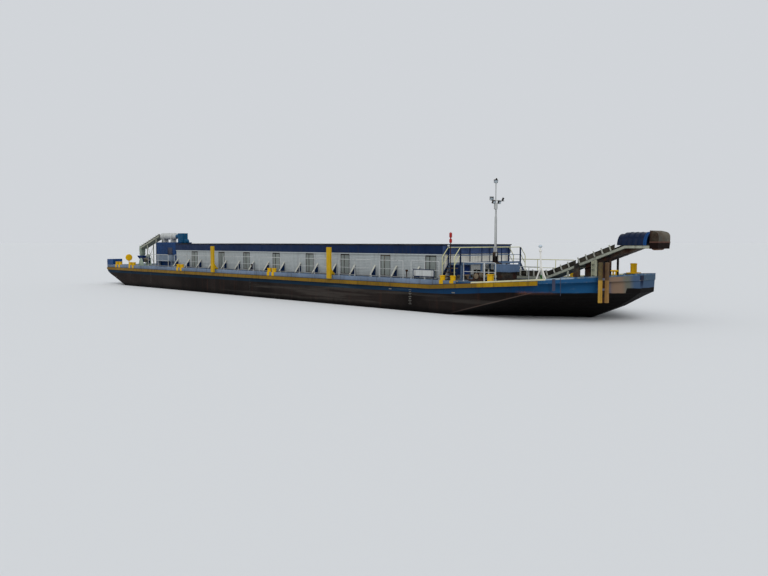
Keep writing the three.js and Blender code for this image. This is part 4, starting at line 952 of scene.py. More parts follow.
def make_mast():
    dress(DARK, "mast_foot", bevel=0.006)
    at = (MAST_X, 0, 0)
    pole = Shape().box((33.24, 33.4), (-0.08, 0.08), (3.65, 4.05))
    for x in (33.24, 33.36):
        pole.box((x, x + 0.04), (-0.08, 0.08), (3.44, 3.7))
    pole.lathe([(0.09, 3.98), (0.09, 4.04), (0.075, 4.06), (0.07, 5.9), (0.055, 5.97), (0.042, 5.99),
                (0.036, 8.3)], at)
    pole.lathe([(0.05, 6.42), (0.12, 6.45), (0.12, 6.8), (0.05, 6.84)], at)
    pole.tube([(MAST_X, -0.62, 7.0), (MAST_X, 0.9, 7.0)], 0.035)
    for y in (-0.34, 0.34):
        pole.tube([(MAST_X, y, 7.0), (MAST_X, 0, 6.72)], 0.018, sides=6)
    pole.make("mast_pole", WHITE, "light_mast", body="mast")
    lamps, glass = Shape(), Shape()
    for y, facing, z in ((-0.5, -35, 7.1), (0.75, 35, 7.1), (-0.28, 0, 6.88), (0.33, 0, 6.88)):
        floodlight(lamps, glass, (33.36, y, z), facing)
    floodlight(lamps, glass, (33.36, -0.06, 8.2), -50, 15)
    lamps.box((33.26, 33.38), (-0.09, 0.09), (8.28, 8.33))
    lamps.lathe([(0.05, 8.33), (0.05, 8.4), (0.03, 8.42)], (MAST_X, 0.05, 0), sides=12)
    lamps.make("mast_floodlights", DARK, "light_mast", body="mast")
    glass.make("mast_lamp_glass", GLASS, "light_mast", body="mast")
    conduit = Shape().tube([(x, 0.02, z) for x, z in (
        (33.4, 3.9), (33.4, 4.1), (33.396, 5.8), (33.37, 6.3), (33.37, 6.4))], 0.012, sides=6)
    conduit.make("mast_conduit", GREY, "light_mast", body="mast")


def make_signal_mast():
    at = Vector((39.3, -4.1, deck_at(39.3)))
    top = at + Vector((-0.06, 0, 0))
    mast = Shape().strip([(x, deck_at(x)) for x in (39.0, 39.8)], 0, 0.06, (-4.35, -3.7))
    for x, y in ((-0.25, -0.15), (0.42, -0.1), (0, 0.3)):
        mast.tube([at + Vector((x, y, 0.05)), at + Vector((0, 0, 0.95))], 0.042)
        mast.lathe([(0.08, 0.05), (0.08, 0.08), (0.05, 0.1)], at + Vector((x, y, 0)), sides=10)
    mast.tube([at + Vector((0, 0, 0.88)), top + Vector((0, 0, 1.75))], 0.045)
    mast.lathe([(0.05, 1.7), (0.08, 1.73), (0.08, 1.8), (0.03, 1.84), (0.02, 1.96)], top)
    mast.make("signal_mast_frame", SIGNAL_WHITE, "signal_mast")
    lamp = Shape().lathe([(0.05, 1.94), (0.1, 1.97), (0.11, 2.02), (0.08, 2.08), (0.03, 2.1)], top)
    lamp.make("signal_lamp", GLASS)
    side_light = Shape().box((39.1, 39.34), (-3.9, -3.7), (deck_at(39.1), 2.24))
    side_light.box((39.12, 39.32), (-3.88, -3.72), (2.24, 2.5))
    side_light.box((39.09, 39.35), (-3.91, -3.69), (2.5, 2.53))
    side_light.make("side_light_starboard", SIDE_GREEN, bevel=0.01)


def run_frame(run, x):
    """A point of a conveyor's run with the directions along it and square to it."""
    for (x0, z0), (x1, z1) in zip(run, run[1:]):
        if x <= x1 + 1e-6:
            break
    along = Vector((x1 - x0, 0, z1 - z0)).normalized()
    return Vector((x, 0, height_at(run, x))), along, Vector((-along.z, 0, along.x))


def part_of(run, first, last):
    """The stations of a run between two places."""
    inner = [(x, z) for x, z in run if first < x < last]
    return [(first, height_at(run, first)), *inner, (last, height_at(run, last))]


def make_conveyor(name, run, belt, y, body, idlers, skirt_x, belt_x, replaced):
    """Channel beams, white idler brackets, three-roller sets, side skirts and a troughed belt."""
    frame_node, belt_node = replaced
    inner, outer = belt["beam"]
    half, skirt, idler = belt["half"], belt["skirt"], belt["idler"]
    beams, brackets, rollers = Shape(), Shape(), Shape()
    beams.strip(run, -BEAM_DEPTH, 0, (outer, outer - BEAM_PLATE))
    beams.strip(run, -BEAM_PLATE, 0, (outer, inner))
    beams.strip(run, -BEAM_DEPTH, BEAM_PLATE - BEAM_DEPTH, (outer, inner))
    pan = part_of(run, run[0][0], skirt_x[1])
    beams.mirrored().strip(pan, -BEAM_DEPTH, 0.03 - BEAM_DEPTH, (-inner, inner))
    x = idlers[0]
    while x < idlers[1]:
        at, along, up = run_frame(run, x + 0.04)
        face, width, deep = at + Vector((0, outer, 0)), along * 0.08, (0, inner - outer, 0)
        brackets.block(face - width / 2 - up * 0.02, width, (0, -0.014, 0), up * (idler + 0.02))
        brackets.block(face - along * 0.006 - up * 0.02, along * 0.012, deep, up * idler)
        brackets.block(face - width * 0.7 - up * 0.004, width * 1.4, deep, up * 0.016)
        brackets.bolts([face + up * 0.06, face + up * 0.26], PORT, 0.012)
        low, high, third = at - up * 0.11, at + up * 0.04, half * 0.36
        rollers.tube([low - Vector((0, third, 0)), low + Vector((0, third, 0))], ROLLER_R, sides=10)
        for sign in (-1, 1):
            rollers.tube([low + Vector((0, sign * (third + 0.02), 0)) + up * 0.01,
                          high + Vector((0, sign * half * 0.9, 0))], ROLLER_R, sides=10)
        x += IDLER_PITCH
    line = part_of(run, *skirt_x)
    skirts = Shape().strip(line, -0.1, skirt, (half, half - 0.018))
    skirts.strip(line, skirt - 0.03, skirt, (half, half - 0.05))
    section = [(-0.86, 0.1), (-0.42, -0.05), (0.42, -0.05), (0.86, 0.1)]
    ring = [(u * half, w) for u, w in section] + [(u * half, w - BELT_THICK) for u, w in reversed(section)]
    band = Shape().loft([[(sx, u, sz + w) for u, w in ring] for sx, sz in part_of(run, *belt_x)])
    for part, shape, look, node in (
        ("beams", beams, CONVEYOR, frame_node),
        ("idler_brackets", brackets.mirrored(), BRACKET, frame_node),
        ("rollers", rollers, DARK, frame_node),
        ("skirts", skirts.mirrored(), BLACK, belt_node),
        ("band", band, RUBBER, belt_node),
    ):
        shape.moved(0, y, 0).make(f"{name}_{part}", look, node, body=body)


def make_conveyors():
    make_conveyor("deck_run", DECK_RUN, BOW_BELT, 0, "barge", (32.3, 39.2), (32.05, 39.42), (32.05, 39.3),
                  ("deck_conveyor", "deck_belt"))
    make_conveyor("boom", BOOM_RUN, BOW_BELT, 0, "boom", (39.67, 41.7), (39.54, 41.8), (39.72, 43.7),
                  ("boom_frame", "boom_belt"))
    make_conveyor("aft_run", AFT_RUN, AFT_BELT, AFT_Y, "barge", (-8.1, -4.7), (-8.35, -4.6), (-8.35, -4.6),
                  ("aft_conveyor", "aft_belt"))
    dress(RUBBER, "hold_conveyor", bevel=0.02)
    guard = Shape()
    guard_rail(guard, (35.6, 37.35), -0.95, 3, (0.62, 0.85))
    guard.make("belt_guard_rail", WHITE)


def make_boom_underframe():
    # Painted shade: the frame under the boom's beams takes near-black dark steel for the shadow beneath
    # them
    flank = [(x, height_at(BOOM_RUN, x) + z) for x, z in (
        (40.0, -0.41), (43.086, -0.17), (43.086, -0.15), (42.45, -0.15), (40.0, -0.15))]
    under = Shape().prism("XZ", flank, (0.46, 0.5)).mirrored().strip(flank[:2], 0, 0.02, (-0.48, 0.48))
    for x in row(40.0, 0.5, 6):
        low = 2.808 + 0.383 * (x - 40.0)
        under.box((x, x + 0.04), (-0.49, 0.49), (low, height_at(BOOM_RUN, x) - 0.15))
    under.make("boom_underframe", DARK, "boom_frame", body="boom", bevel=0.004)


def make_conveyor_legs():
    legs = Shape()
    for x in (34.2, 36.6, 38.9):
        deck = deck_at(x)
        legs.box((x, x + 0.11), (0.63, 0.69), (deck, height_at(DECK_RUN, x) - BEAM_DEPTH + 0.02))
        legs.box((x - 0.05, x + 0.16), (0.6, 0.72), (deck, deck + 0.02))
    legs.mirrored().tube([(38.95, -0.62, 2.2), (38.95, 0.62, 2.7)], 0.02, sides=6)
    legs.make("deck_run_legs", CONVEYOR, "deck_conveyor", bevel=0.004)
    hinge = Shape().box((39.3, 39.5), (0.66, 0.76), (2.72, 2.82))
    ear = [(39.35, 2.3), (39.75, 2.35), (39.76, 2.98), (39.68, 3.08), (39.5, 3.08), (39.42, 2.98)]
    for y in ((0.72, 0.745), (0.76, 0.78)):
        hinge.prism("XZ", ear, y)
    hinge.lathe([(0.07, 0), (0.07, 0.025), (0.04, 0.03)], (39.6, 0.78, 2.98), PORT)
    hinge.mirrored().tube([(39.6, -0.78, 2.98), (39.6, 0.78, 2.98)], 0.04, sides=12)
    hinge.make("boom_hinge_cheeks", DARK, "deck_conveyor", bevel=0.004)
    feet, places = Shape(), (-7.0, -5.2)
    for x in places:
        feet.box((x, x + 0.1), span(0.33, 0.03), (ON_DECK, height_at(AFT_RUN, x) - 0.1))
        feet.box((x - 0.05, x + 0.15), span(0.33, 0.08), (ON_DECK, 2.02))
    feet.mirrored()
    for x in places:
        for y in (-0.33, 0.33):
            feet.tube([(x + 0.05, y, 2.2), (x + 0.05, -y, height_at(AFT_RUN, x) - 0.3)], 0.02, sides=6)
    feet.moved(0, AFT_Y, 0).make("aft_run_legs", CONVEYOR, "aft_conveyor", bevel=0.004)


def make_hood():
    """Overlapping cover segments over the boom's level end, the last one with a bright frame."""
    aft, fore = HOOD["x"]
    centre = (0, HOOD["z"])

    def half_ring(outer, inner, steps):
        return arc(outer, centre, 0, 180, steps) + arc(inner, centre, 180, 0, steps)

    covers, count = Shape(), 5
    step = (fore - 0.17 - aft) / count
    for i in range(count):
        x0 = aft + step * i
        x1 = x0 + step
        radius = HOOD["radius"] - (0.1 if i == 0 else 0.02)
        for r, x in ((radius, (x0, x1)), (radius + 0.018, (x1 - 0.04, x1))):
            covers.prism("YZ", half_ring(r, r - 0.03, 20), x)
        for turn in (35, 145):
            y, z = polar(radius, centre, turn)
            covers.tube([(x0 + 0.08, y, z + 0.02), (x0 + 0.1, y * 1.02, z + 0.05),
                         (x1 - 0.1, y * 1.02, z + 0.05), (x1 - 0.08, y, z + 0.02)], 0.009, sides=5)
    covers.make("hood_covers", HOOD_BLUE, "boom_hood", body="boom", smooth=40)
    rim = Shape()
    for outer, inner, back in ((0.74, 0.66, (0.17, 0.13)), (0.71, 0.68, (0.13, 0)),
                               (0.74, 0.66, (0.04, 0))):
        rim.prism("YZ", half_ring(outer, inner, 24), [fore - b for b in back])
    for turn in range(15, 180, 25):
        rim.lathe([(0.015, 0), (0.015, 0.15)], (fore - 0.16, *polar(0.72, centre, turn)), FORWARD, sides=6)
    rim.make("hood_end_frame", BLUE, "boom_hood", body="boom")


def make_head():
    """The head chute: cheeks with stiffeners, a rounded front cover and a lower spout in oxide red."""
    front = [(43.9, 4.95), *arc(0.29, (44.05, 4.62), 80, 0, 8), (44.34, 4.45)]
    outside = [(43.86, 4.96), *front, (44.32, 4.2)]

    def shell(depth):
        return outside + [(x - depth, z - depth) for x, z in reversed(outside)]

    cover = Shape().prism("XZ", shell(0.02), (-0.74, 0.74))
    for y in (-0.45, 0, 0.45):
        cover.prism("XZ", shell(0.05), span(y, 0.01))
    cover.make("head_cover", HEAD_TOP, "head_chute", body="boom")
    cheeks = Shape().prism("XZ", [(43.86, 4.3), *outside, (44.31, 4.3)], (0.725, 0.745))
    cheeks.box((43.86, 44.32), (0.745, 0.76), (4.42, 4.455))
    cheeks.box((44.06, 44.095), (0.745, 0.76), (4.3, 4.9))
    cheeks.bolts([(x, 0.745, 4.36) for x in row(43.9, 0.09, 5)], PORT, 0.012)
    cheeks.mirrored().make("head_cheeks", HEAD_RUST, "head_chute", body="boom")
    rim = Shape().box((43.86, 44.3), (0.747, 0.775), (4.3, 4.37)).mirrored()
    rim.box((44.3, 44.34), (-0.775, 0.775), (4.3, 4.37))
    rim.make("head_rim", HEAD_RIM, "head_chute", body="boom")
    spout = Shape().prism("XZ", [(43.86, 3.98), (44.3, 3.98), (44.34, 4.3), (43.86, 4.3)], (0.72, 0.76))
    spout.box((43.87, 43.93), (0.702, 0.732), (4.02, 4.12))
    spout.box((43.88, 44.3), (0.69, 0.73), (3.98, 4.01))
    spout.mirrored().prism("XZ", [(44.29, 3.98), (44.31, 3.98), (44.33, 4.3), (44.31, 4.3)], (-0.74, 0.74))
    for z in (4.04, 4.16):
        spout.box((44.3, 44.33), (-0.7, 0.7), (z, z + 0.03))
    spout.make("head_spout", MAROON, "head_chute", body="boom")


def make_head_pulley():
    x, z = DRUM_AT
    drum = Shape().lathe([(0.14, -0.52), (0.168, -0.5), (0.172, 0), (0.168, 0.5), (0.14, 0.52)], (x, 0, z),
                         PORT, 32)
    for out, side in spokes(16):
        foot = Vector((x, -0.48, z)) + out * 0.165 - side * 0.022
        drum.block(foot, side * 0.044, (0, 0.96, 0), out * 0.012)
    drum.tube([(x, -0.71, z), (x, 0.71, z)], 0.055, sides=16)
    drum.make("head_pulley", RUSTY, "head_drum", body="drum")


def make_boom_support():
    def upright(shape, x, y, drop):
        """A plate from the deck to a drop below the boom's run."""
        foot = deck_at(x[1]) + 0.03
        heads = [height_at(BOOM_RUN, at) - drop for at in x]
        shape.prism("XZ", [(x[0], foot), (x[1], foot), (x[1], heads[1]), (x[0], heads[0])], y)

    legs, housing = Shape(), Shape()
    for x in ((40.53, 40.55), (40.75, 40.77)):
        upright(legs, x, (0.6, 0.84), 0.182)
    upright(legs, (40.53, 40.77), (0.71, 0.73), 0.182)
    legs.box((40.47, 40.83), (0.56, 0.88), (2.22, 2.26))
    for z in row(2.5, 0.3, 3):
        legs.box((40.54, 40.76), (0.61, 0.83), (z, z + 0.02))
    legs.bolts([(x, 0.85, deck_at(x) + 0.06) for x in (40.1, 40.9, 41.3, 41.6)], UP, 0.025, 0.03)
    legs.mirrored().strip([(x, deck_at(x)) for x in (39.9, 41.7)], 0.001, 0.06, (-0.9, 0.9))
    legs.make("support_legs", LEG, "boom_support", bevel=0.004)
    upright(housing, (41.44, 41.54), (0.4, 0.5), 0.422)
    for x in (39.95, 40.35, 40.95):
        upright(housing, (x, x + 0.05), (0.4, 0.42), 0.45)
    housing.box((41.4, 41.58), (0.36, 0.54), (2.24, 2.27)).mirrored()
    upright(housing, (39.9, 41.05), (-0.405, 0.405), 0.44)
    housing.make("support_housing", DARK, "boom_support", bevel=0.006)


def make_guide_posts():
    height = (1.1, 3.25)
    for name, look, x, y in (("aft", POST_OCHRE, 42.12, -2.78), ("fore", POST_TAN, 42.37, -2.52)):
        post = Shape().box(span(x, 0.085), span(y, 0.085), height)
        post.box(span(x, 0.07), span(y, 0.07), (3.24, 3.258))
        post.make(f"guide_post_{name}", look, "bow_guide_posts", bevel=0.012)
    web = Shape().prism("XY", [(42.076, -2.739), (42.326, -2.479), (42.297, -2.452), (42.047, -2.712)],
                        height)
    web.make("guide_post_web", DARK, "bow_guide_posts")
    ties = Shape()
    for z in (1.75, 2.3):
        ties.prism("XY", [(41.85, -2.668), (42.08, -2.82), (42.4, -2.47), (42.22, -2.273)], (z, z + 0.12))
    ties.make("guide_post_ties", BULWARK_BLUE, "bow_guide_posts", bevel=0.006)


def make_bow_bollard():
    bollard = Shape().box((42.35, 42.95), (-0.22, 0.22), (deck_at(42.95), 2.59))
    bollard.box((42.4, 42.9), (-0.4, 0.4), (2.61, 2.66))
    bollard.lathe([(0.2, 2.62), (0.172, 2.66), (0.17, 3.08), (0.185, 3.11), (0.19, 3.14), (0.18, 3.165),
                   (0.1, 3.17)], (42.65, 0, 0), sides=28)
    bollard.make("bow_bollard_post", YELLOW, "bow_bollard", bevel=0.006)
    plate = Shape().box((42.22, 43.08), (-0.3, 0.3), (2.56, 2.62))
    plate.make("bow_bollard_plate", GUNWALE_BLUE, "bow_bollard", bevel=0.008)
    y, deck = -1.35, deck_at(42.2)
    cleat = Shape().tube([(42.0, y, 2.77), (42.41, y, 2.77)], 0.05, sides=10)
    for x in (42.12, 42.29):
        cleat.box(span(x, 0.03), span(y, 0.03), (deck_at(x), 2.76))
    cleat.box((42.02, 42.39), span(y, 0.08), (deck, deck + 0.03))
    cleat.make("bow_cleat", YELLOW)


def make_power_unit():
    x, y = (32.12, 32.78), (-3.04, -1.98)
    front = x[1]
    casing = Shape().box(x, y, (2.3, 2.88)).box(x, y, (2.87, 2.9))
    for door in row(y[0] + 0.03, 0.34, 3):
        grip = door + 0.27
        casing.box((front, front + 0.01), (door, door + 0.31), (2.33, 2.84))
        casing.tube([(front + 0.01, grip, 2.55), (front + 0.03, grip, 2.56), (front + 0.03, grip, 2.64),
                     (front + 0.01, grip, 2.65)], 0.006, sides=5)
    for z in row(2.42, 0.045, 9):
        casing.block((x[0] + 0.08, y[0], z), (0.5, 0, 0), (0, -0.014, -0.01), (0, 0, 0.01))
    casing.make("power_unit_casing", POWER_BLUE, "power_unit", slot="navy_paint", bevel=0.01)
    tray = Shape().box(x, y, (2.2, 2.31))
    for side in (y[0] + 0.1, y[1] - 0.18):
        tray.box(x, (side, side + 0.08), (ON_DECK, 2.21))
    tray.make("power_unit_skids", BEIGE, "power_unit", slot="navy_paint", bevel=0.006)
    pipes = Shape()
    for k in range(4):
        at = -2.9 + 0.09 * k
        pipes.tube(rounded([(32.7, at, 2.26), (32.95, at, 2.24), (33.1, at - 0.05, 2.05),
                            (33.9 + 0.1 * k, -3.1, 2.035), (34.02, -3.2, 2.08)], 0.08), 0.02)
        pipes.tube(rounded([(32.3, y[0] + 0.1, 2.24 + 0.06 * k), (32.3, -3.2 - 0.03 * k, 2.2 + 0.05 * k),
                            (32.34, -3.3 - 0.03 * k, 2.04), (31.5, -3.9 - 0.05 * k, 2.03)], 0.08), 0.018)
    pipes.make("hydraulic_pipes", DARK)


def make_machinery_box():
    x, y, front = (35.1, 36.2), (-2.6, -1.5), (2.6, 2.94)
    cabinet = Shape().box((x[0] + 0.01, x[1] - 0.01), (y[0] + 0.01, y[1] - 0.01), (2.55, 2.98))
    for z in ((2.96, 3.0), (2.55, 2.58)):
        cabinet.box(x, y, z)
    for along in (0.05, 0.56):
        cabinet.box((x[0] + along, x[0] + along + 0.48), (y[0], y[0] + 0.02), front)
        cabinet.box((x[1] - 0.02, x[1]), (y[0] + along, y[0] + along + 0.48), front)
    cabinet.make("machinery_cabinet", CABINET_BLUE, "machinery_box", bevel=0.008)
    base = Shape().box((35.2, 36.1), (-2.45, -1.65), (ON_DECK, 2.56))
    for at in row(35.24, 0.19, 5):
        base.box((at, at + 0.02), (-2.46, -2.44), (2.05, 2.5))
    base.make("machinery_base", DARK, "machinery_box")
    pipes = Shape().tube(rounded([(35.0, -2.3, 2.7), (34.9, -2.3, 2.95), (35.0, -2.25, 3.04),
                                  (35.35, -2.2, 3.05), (35.4, -2.2, 2.98)], 0.08), 0.03, sides=10)
    pipes.tube(rounded([(35.15, -1.9, 2.98), (35.15, -1.9, 3.07), (34.85, -1.9, 3.07), (34.85, -1.9, 2.05)],
                       0.06), 0.025, sides=10)
    pipes.lathe([(0.05, 2.99), (0.05, 3.06), (0.03, 3.08)], (35.8, -2.3, 0), sides=12)
    pipes.make("machinery_pipes", DARK)


def make_windlass():
    stand, drum, rope = Shape(), Shape(), Shape()
    axle = (0, 0, 0.3)
    stand.prism("XZ", [(-0.3, 0.06), (0.3, 0.06), (0.14, 0.5), (-0.14, 0.5)], (0.22, 0.26)).mirrored()
    stand.box((-0.5, 0.5), (-0.4, 0.4), (0.001, 0.04))
    stand.box((-0.46, 0.46), (-0.36, 0.36), (0.03, 0.1))
    drum.lathe([(0.17, 0.26), (0.17, 0.28), (0.12, 0.285), (0.06, 0.3)], axle, PORT, 24)
    drum.lathe([(0.17, 0.18), (0.17, 0.215)], axle, PORT, 24)
    drum.mirrored().lathe([(0.11, -0.2), (0.11, 0.2)], axle, PORT, 20)
    for y in row(-0.16, 0.04, 9):
        rope.lathe([(0.12, -0.02), (0.145, -0.008), (0.145, 0.008), (0.12, 0.02)], (0, y, 0.3), PORT, 24)
    for shape, name, look in ((stand, "stand", DARK), (drum, "drum", BEIGE), (rope, "rope", ROPE)):
        shape.moved(34.5, -3.3, DECK_Z).make(f"windlass_{name}", look, "fore_windlass")


def make_winch(side, centre_y):
    """A stand with its drum and wire, drawn round the axle."""
    at, axle = (-6.1, centre_y, 2.55), (0, 0, 0)
    stand, spool, rope = Shape(), Shape(), Shape()
    stand.box((-0.55, 0.55), (-0.5, 0.5), (-0.549, -0.52))
    for y in (-0.42, 0.42):
        stand.prism("XZ", [(-0.5, -0.52), (0.5, -0.52), (0.2, 0.1), (0.14, 0.2), (-0.14, 0.2),
                           (-0.2, 0.1)], span(y, 0.012))
        for foot, head in (((-0.52, -0.48), (-0.16, -0.2)), ((0.48, 0.52), (0.2, 0.16))):
            stand.prism("XZ", [*((x, -0.52) for x in foot), *((x, 0.16) for x in head)], span(y, 0.03))
        stand.lathe([(0.1, -0.035), (0.1, 0.035)], (0, y, 0), PORT, 20)
    stand.tube([(0, -0.45, 0), (0, 0.45, 0)], 0.045, sides=12)
    stand.box((-0.3, 0.3), (-0.47, -0.43), (-0.5, -0.2))
    stand.bolts([(x, y, -0.52) for x in (-0.5, -0.2, 0.2, 0.5) for y in (-0.46, 0.46)], UP, 0.025, 0.03)
    for y in (-0.34, 0.34):
        spool.lathe([(0.36, -0.01), (0.365, -0.006), (0.365, 0.006), (0.36, 0.01)], (0, y, 0), PORT, 32)
        for out, across in spokes(6):
            spool.block(Vector((0, y - 0.02, 0)) + out * 0.08 - across * 0.02, out * 0.26, across * 0.04,
                        (0, 0.04, 0))
    spool.lathe([(0.13, -0.36), (0.13, 0.36)], axle, PORT, 24)
    for y in row(-0.31, 0.027, 24):
        rope.lathe([(0.19, -0.013), (0.205, -0.006), (0.205, 0.006), (0.19, 0.013)], (0, y, 0), PORT, 28)
    body = f"winch_{side[0]}"
    stand.moved(*at).make(f"winch_stand_{side}", GREEN, f"winch_frame_{side}", bevel=0.004)
    spool.moved(*at).make(f"winch_spool_{side}", NAVY, f"winch_drum_{side}", body=body)
    rope.moved(*at).make(f"winch_rope_{side}", ROPE, f"winch_drum_{side}", body=body, smooth=60)


def make_aft_house():
    dress(HOUSE_BLUE, "aft_house", bevel=0.01)
    trim, dark = Shape(), Shape()
    for x in row(-3.95, 0.48, 8):
        trim.box((x, x + 0.05), (3.6, 3.612), (2.1, 3.95))
    trim.box((-4.12, -0.4), (3.58, 3.625), (4.04, 4.1)).mirrored()
    for y in row(-3.4, 0.5, 14):
        if not 0.2 < y < 1.6:
            trim.box((-4.112, -4.1), (y, y + 0.05), (2.1, 3.95))
    trim.box((-4.12, -4.08), (-3.6, 3.6), (4.05, 4.1))
    trim.box((-4.13, -4.1), (0.52, 1.56), (4.05, 4.1))
    for y in (0.5, 1.53):
        trim.box((-4.125, -4.1), (y, y + 0.06), (2.2, 4.08))
    trim.make("house_ribs", HOUSE_BLUE)
    for z in row(3.2, 0.055, 10):
        dark.block((-1.9, -3.6, z), (0.9, 0, 0), (0, -0.02, -0.015), (0, 0, 0.012))
    for z in (3.17, 3.76):
        dark.box((-1.93, -0.97), (-3.622, -3.6), (z, z + 0.03))
    for y in (-1.2, 2.2):
        dark.box((-4.125, -4.1), (y, y + 0.7), (3.0, 3.6))
    dark.make("house_louvres", DARK)
    dress(BLUE, "aft_door", bevel=0.008)
    leaf = Shape().box((-4.088, -4.085), (0.66, 1.34), (2.35, 3.05))
    grip = [(-4.09, 0.7, 3.1), (-4.14, 0.7, 3.1), (-4.14, 0.7, 3.25), (-4.09, 0.7, 3.25)]
    leaf.tube(rounded(grip, 0.02), 0.012)
    for z in (2.55, 3.75):
        leaf.tube([(-4.1, 1.385, z), (-4.1, 1.385, z + 0.14)], 0.02)
    leaf.make("door_fittings", GREY, body="door")


def make_switch_cabinet():
    cabinet = Shape().box((-3.4, -0.6), (-3.93, -3.61), (2.5, 3.09))
    cabinet.box((-3.43, -0.57), (-3.95, -3.61), (3.08, 3.12))
    for at in row(-3.37, 0.69, 4):
        cabinet.box((at, at + 0.66), (-3.943, -3.93), (2.54, 3.05))
        cabinet.box((at + 0.56, at + 0.59), (-3.95, -3.943), (2.75, 2.87))
    for x in (-3.3, -0.8):
        cabinet.box((x, x + 0.1), (-3.93, -3.63), (ON_DECK, 2.5))
        cabinet.tube([(x + 0.05, -3.9, 2.1), (x + 0.05, -3.65, 2.45)], 0.015, sides=6)
    cabinet.make("switch_cabinet", SWITCH_GREY, "aft_cabinet", bevel=0.006)


def make_feed():
    """The chute, hopper, motor and hand wheel at the foot of the aft conveyor."""
    chute = Shape().prism("XZ", [(-8.9, 3.5), (-8.82, 3.95), (-8.5, 3.95), (-8.43, 3.5), (-8.5, 2.95),
                                 (-8.82, 2.95)], (-0.22, 0.22))
    for z in (3.15, 3.5, 3.8):
        chute.box((-8.9, -8.43), (-0.235, 0.235), span(z, 0.02))
    chute.box((-8.74, -8.59), (-0.075, 0.075), (ON_DECK, 3.0))
    chute.box((-8.85, -8.48), (-0.18, 0.18), (ON_DECK, 2.03))
    chute.moved(0, AFT_Y, 0).make("feed_chute", GREEN, "aft_chute", bevel=0.008)
    corners = ((-1, -1), (1, -1), (1, 1), (-1, 1))
    hopper = Shape().loft([[(a * half_x, b * half_y, z) for a, b in corners] for half_x, half_y, z in (
        (0.2, 0.18, 2.55), (0.42, 0.34, 2.86), (0.42, 0.34, 2.94))])
    hopper.moved(-8.67, AFT_Y, 0).make("feed_hopper", POWER_BLUE, bevel=0.01)
    motor = Shape().box((-7.35, -6.75), (-3.1, -2.75), (2.2, 2.75))
    motor.lathe([(0.17, 0), (0.17, 0.3), (0.15, 0.34)], (-7.05, -2.92, 2.73), sides=20)
    motor.box((-7.3, -6.8), (-3.05, -2.8), (ON_DECK, 2.22))
    motor.make("feed_motor", GREEN, bevel=0.01)
    x, y, z = -8.18, -4.4, 2.78
    wheel = Shape().tube([(x, y, 2.0), (x, y, z)], 0.045, sides=12)
    wheel.lathe([(0.12, -0.05), (0.3, -0.045), (0.33, -0.02), (0.33, 0.02), (0.3, 0.045), (0.12, 0.05)],
                (x, y, z), (1, -0.15, 0), 28)
    wheel.box(span(x, 0.12), span(y, 0.12), (ON_DECK, 2.03))
    wheel.make("hand_wheel", YELLOW)


def make_dust_tube():
    z, r, side = 4.88, 0.31, (-0.3, 0.3)
    at = (0, 0, z)
    tube = Shape().lathe([(0.2, -4.47), (0.28, -4.46), (r, -4.42), (r, -2.0), (0.3, -1.95), (0.26, -1.87),
                          (0.2, -1.8), (0.13, -1.755), (0.1, -1.75)], at, FORWARD, 32)
    for x in row(-4.3, 0.55, 5):
        tube.lathe([(r, x - 0.02), (r + 0.012, x - 0.015), (r + 0.012, x + 0.015), (r, x + 0.02)],
                   at, FORWARD, 32)
    for x in (-3.9, -2.4):
        tube.box(span(x, 0.03), side, (4.301, z - 0.05))
        tube.box(span(x, 0.05), side, (4.301, 4.33))
    tube.moved(0, AFT_Y, 0).make("dust_tube", WHITE, "aft_hood")
    x = (-1.09, -0.24)
    head = Shape().box(x, (-0.28, 0.28), (4.34, 5.12))
    for z in ((4.301, 4.345), (5.11, 5.15)):
        head.box(x, (-0.29, 0.29), z)
    for rib in (-0.96, -0.68, -0.4):
        head.box(span(rib, 0.015), (-0.29, 0.29), (4.34, 5.12))
    head.lathe([(0.17, -1.74), (0.17, -1.1)], at, FORWARD, 24)
    head.lathe([(0.2, -1.13), (0.2, -1.09)], at, FORWARD, 24)
    head.prism("XZ", [(-0.24, 4.25), (0.15, 4.25), (0.15, 4.45), (0.0, 4.6), (-0.24, 4.6)], (-0.2, 0.2))
    head.box((0.1, 0.15), (-0.22, 0.22), (4.25, 4.29))
    head.moved(0, AFT_Y, 0).make("aft_drive_head", BRIGHT_BLUE, "aft_head", bevel=0.006)


def hatch(shape, x, y):
    """A round manhole cover with its bolts and handle."""
    lid, top = DECK_Z + 0.045, DECK_Z + 0.08
    shape.lathe([(0.3, 0), (0.3, 0.03), (0.27, 0.045)], (x, y, DECK_Z), sides=24)
    shape.bolts([(*polar(0.24, (x, y), turn), lid) for turn in range(0, 360, 30)], UP, 0.014)
    shape.tube([(x - 0.08, y, lid), (x - 0.06, y, top), (x + 0.06, y, top), (x + 0.08, y, lid)],
               0.009, sides=5)


def make_deck_fittings():
    covers, vents, pipes = Shape(), Shape(), Shape()
    for x, y in ((-11.3, 1.2), (-9.2, 1.2), (4.9, 4.0), (11.0, 4.0), (18.9, 4.0), (25.0, 4.0), (30.9, 4.0),
                 (37.3, 2.9)):
        hatch(covers, x, -y)
        hatch(covers, x, y)
    covers.make("deck_hatches", DECK)
    for x, y in ((29.3, -4.05), (12.3, -4.05), (-0.6, -4.25), (29.3, 4.05), (12.3, 4.05), (38.3, 3.4),
                 (-8.9, 3.9)):
        z = deck_at(x)
        vents.tube([(x, y, z), (x, y, z + 0.5)], 0.035, sides=10)
        vents.lathe([(0.04, 0.44), (0.09, 0.47), (0.09, 0.53), (0.05, 0.57)], (x, y, z), sides=14)
        vents.lathe([(0.07, 0), (0.07, 0.02)], (x, y, z), sides=12)
    vents.make("deck_vents", DARK)
    for y in (-4.26, 4.26):
        pipes.tube([(-4.5, y, 2.09), (32.0, y, 2.09)], 0.03)
        for x in row(-3.0, 2.0, 18):
            pipes.box(span(x, 0.03), span(y, 0.05), (2.0, 2.09))
    pipes.make("deck_pipes", GREY)


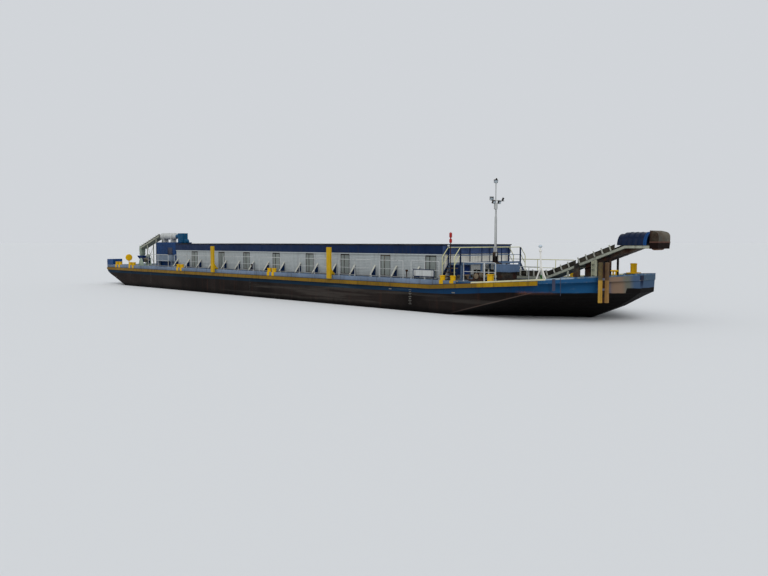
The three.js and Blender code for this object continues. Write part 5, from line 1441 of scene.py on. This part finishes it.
def make_camera():
    data = bpy.data.cameras.new("camera")
    data.sensor_width = 36.0
    data.lens = data.sensor_width * FOCAL / FRAME_WIDTH
    data.clip_end = 2000
    camera = bpy.data.objects.new("camera", data)
    camera.location = place(*CAMERA_AT)
    camera.rotation_euler = (math.pi / 2 + CAMERA_PITCH, 0, CAMERA_YAW)
    bpy.context.scene.collection.objects.link(camera)
    bpy.context.scene.camera = camera


def make_stage():
    """A pale floor at the waterline, open under the hold, with soft light from above."""
    size = 1500
    corners = [(-size, -size), (size, -size), (size, size), (-size, size)]
    (aft, fore), half = FLOOR_HOLE["x"], FLOOR_HOLE["half"]
    hole = [place(x, y, 0) for x, y in ((aft, -half), (fore, -half), (fore, half), (aft, half))]
    rings = [(x, y, DRAUGHT * SCALE) for x, y in corners] + hole
    data = bpy.data.meshes.new("floor")
    data.from_pydata(rings, [], [(0, 1, 5, 4), (1, 2, 6, 5), (2, 3, 7, 6), (3, 0, 4, 7)])
    floor = bpy.data.objects.new("floor", data)
    bpy.context.scene.collection.objects.link(floor)
    material = bpy.data.materials.new("floor")
    material.use_nodes = True
    shader = material.node_tree.nodes["Principled BSDF"]
    shader.inputs["Base Color"].default_value = (0.657, 0.667, 0.673, 1)
    shader.inputs["Roughness"].default_value = 0.75
    data.materials.append(material)
    world = bpy.data.worlds.new("studio")
    world.use_nodes = True
    background = world.node_tree.nodes["Background"]
    background.inputs["Color"].default_value = (0.8, 0.83, 0.87, 1)
    background.inputs["Strength"].default_value = 0.8
    bpy.context.scene.world = world
    for name, energy, angle, rotation in (("key", 1.3, 40, (48, 0, 55)), ("fill", 0.3, 70, (60, 0, -40))):
        light = bpy.data.lights.new(name, "SUN")
        light.energy = energy
        light.angle = math.radians(angle)
        lamp = bpy.data.objects.new(name, light)
        lamp.rotation_euler = [math.radians(a) for a in rotation]
        bpy.context.scene.collection.objects.link(lamp)
    bpy.context.scene.view_settings.view_transform = "Standard"


make_camera()
make_stage()
dress_hull()
make_bulwark_trim()
for side in SIDES:
    make_gunwale(side)
    make_fender_posts(side)
    make_brackets(side)
    make_side_rails(side)
    make_stairs(side)
    make_winch(side, -3.75 if side == "starboard" else 3.75)
make_coaming()
make_signal_pole()
make_catwalk()
make_stair_lamp()
make_mast()
make_signal_mast()
make_conveyors()
make_boom_underframe()
make_conveyor_legs()
make_hood()
make_head()
make_head_pulley()
make_boom_support()
make_guide_posts()
make_bow_bollard()
make_power_unit()
make_machinery_box()
make_windlass()
make_aft_house()
make_switch_cabinet()
make_feed()
make_dust_tube()
make_deck_fittings()
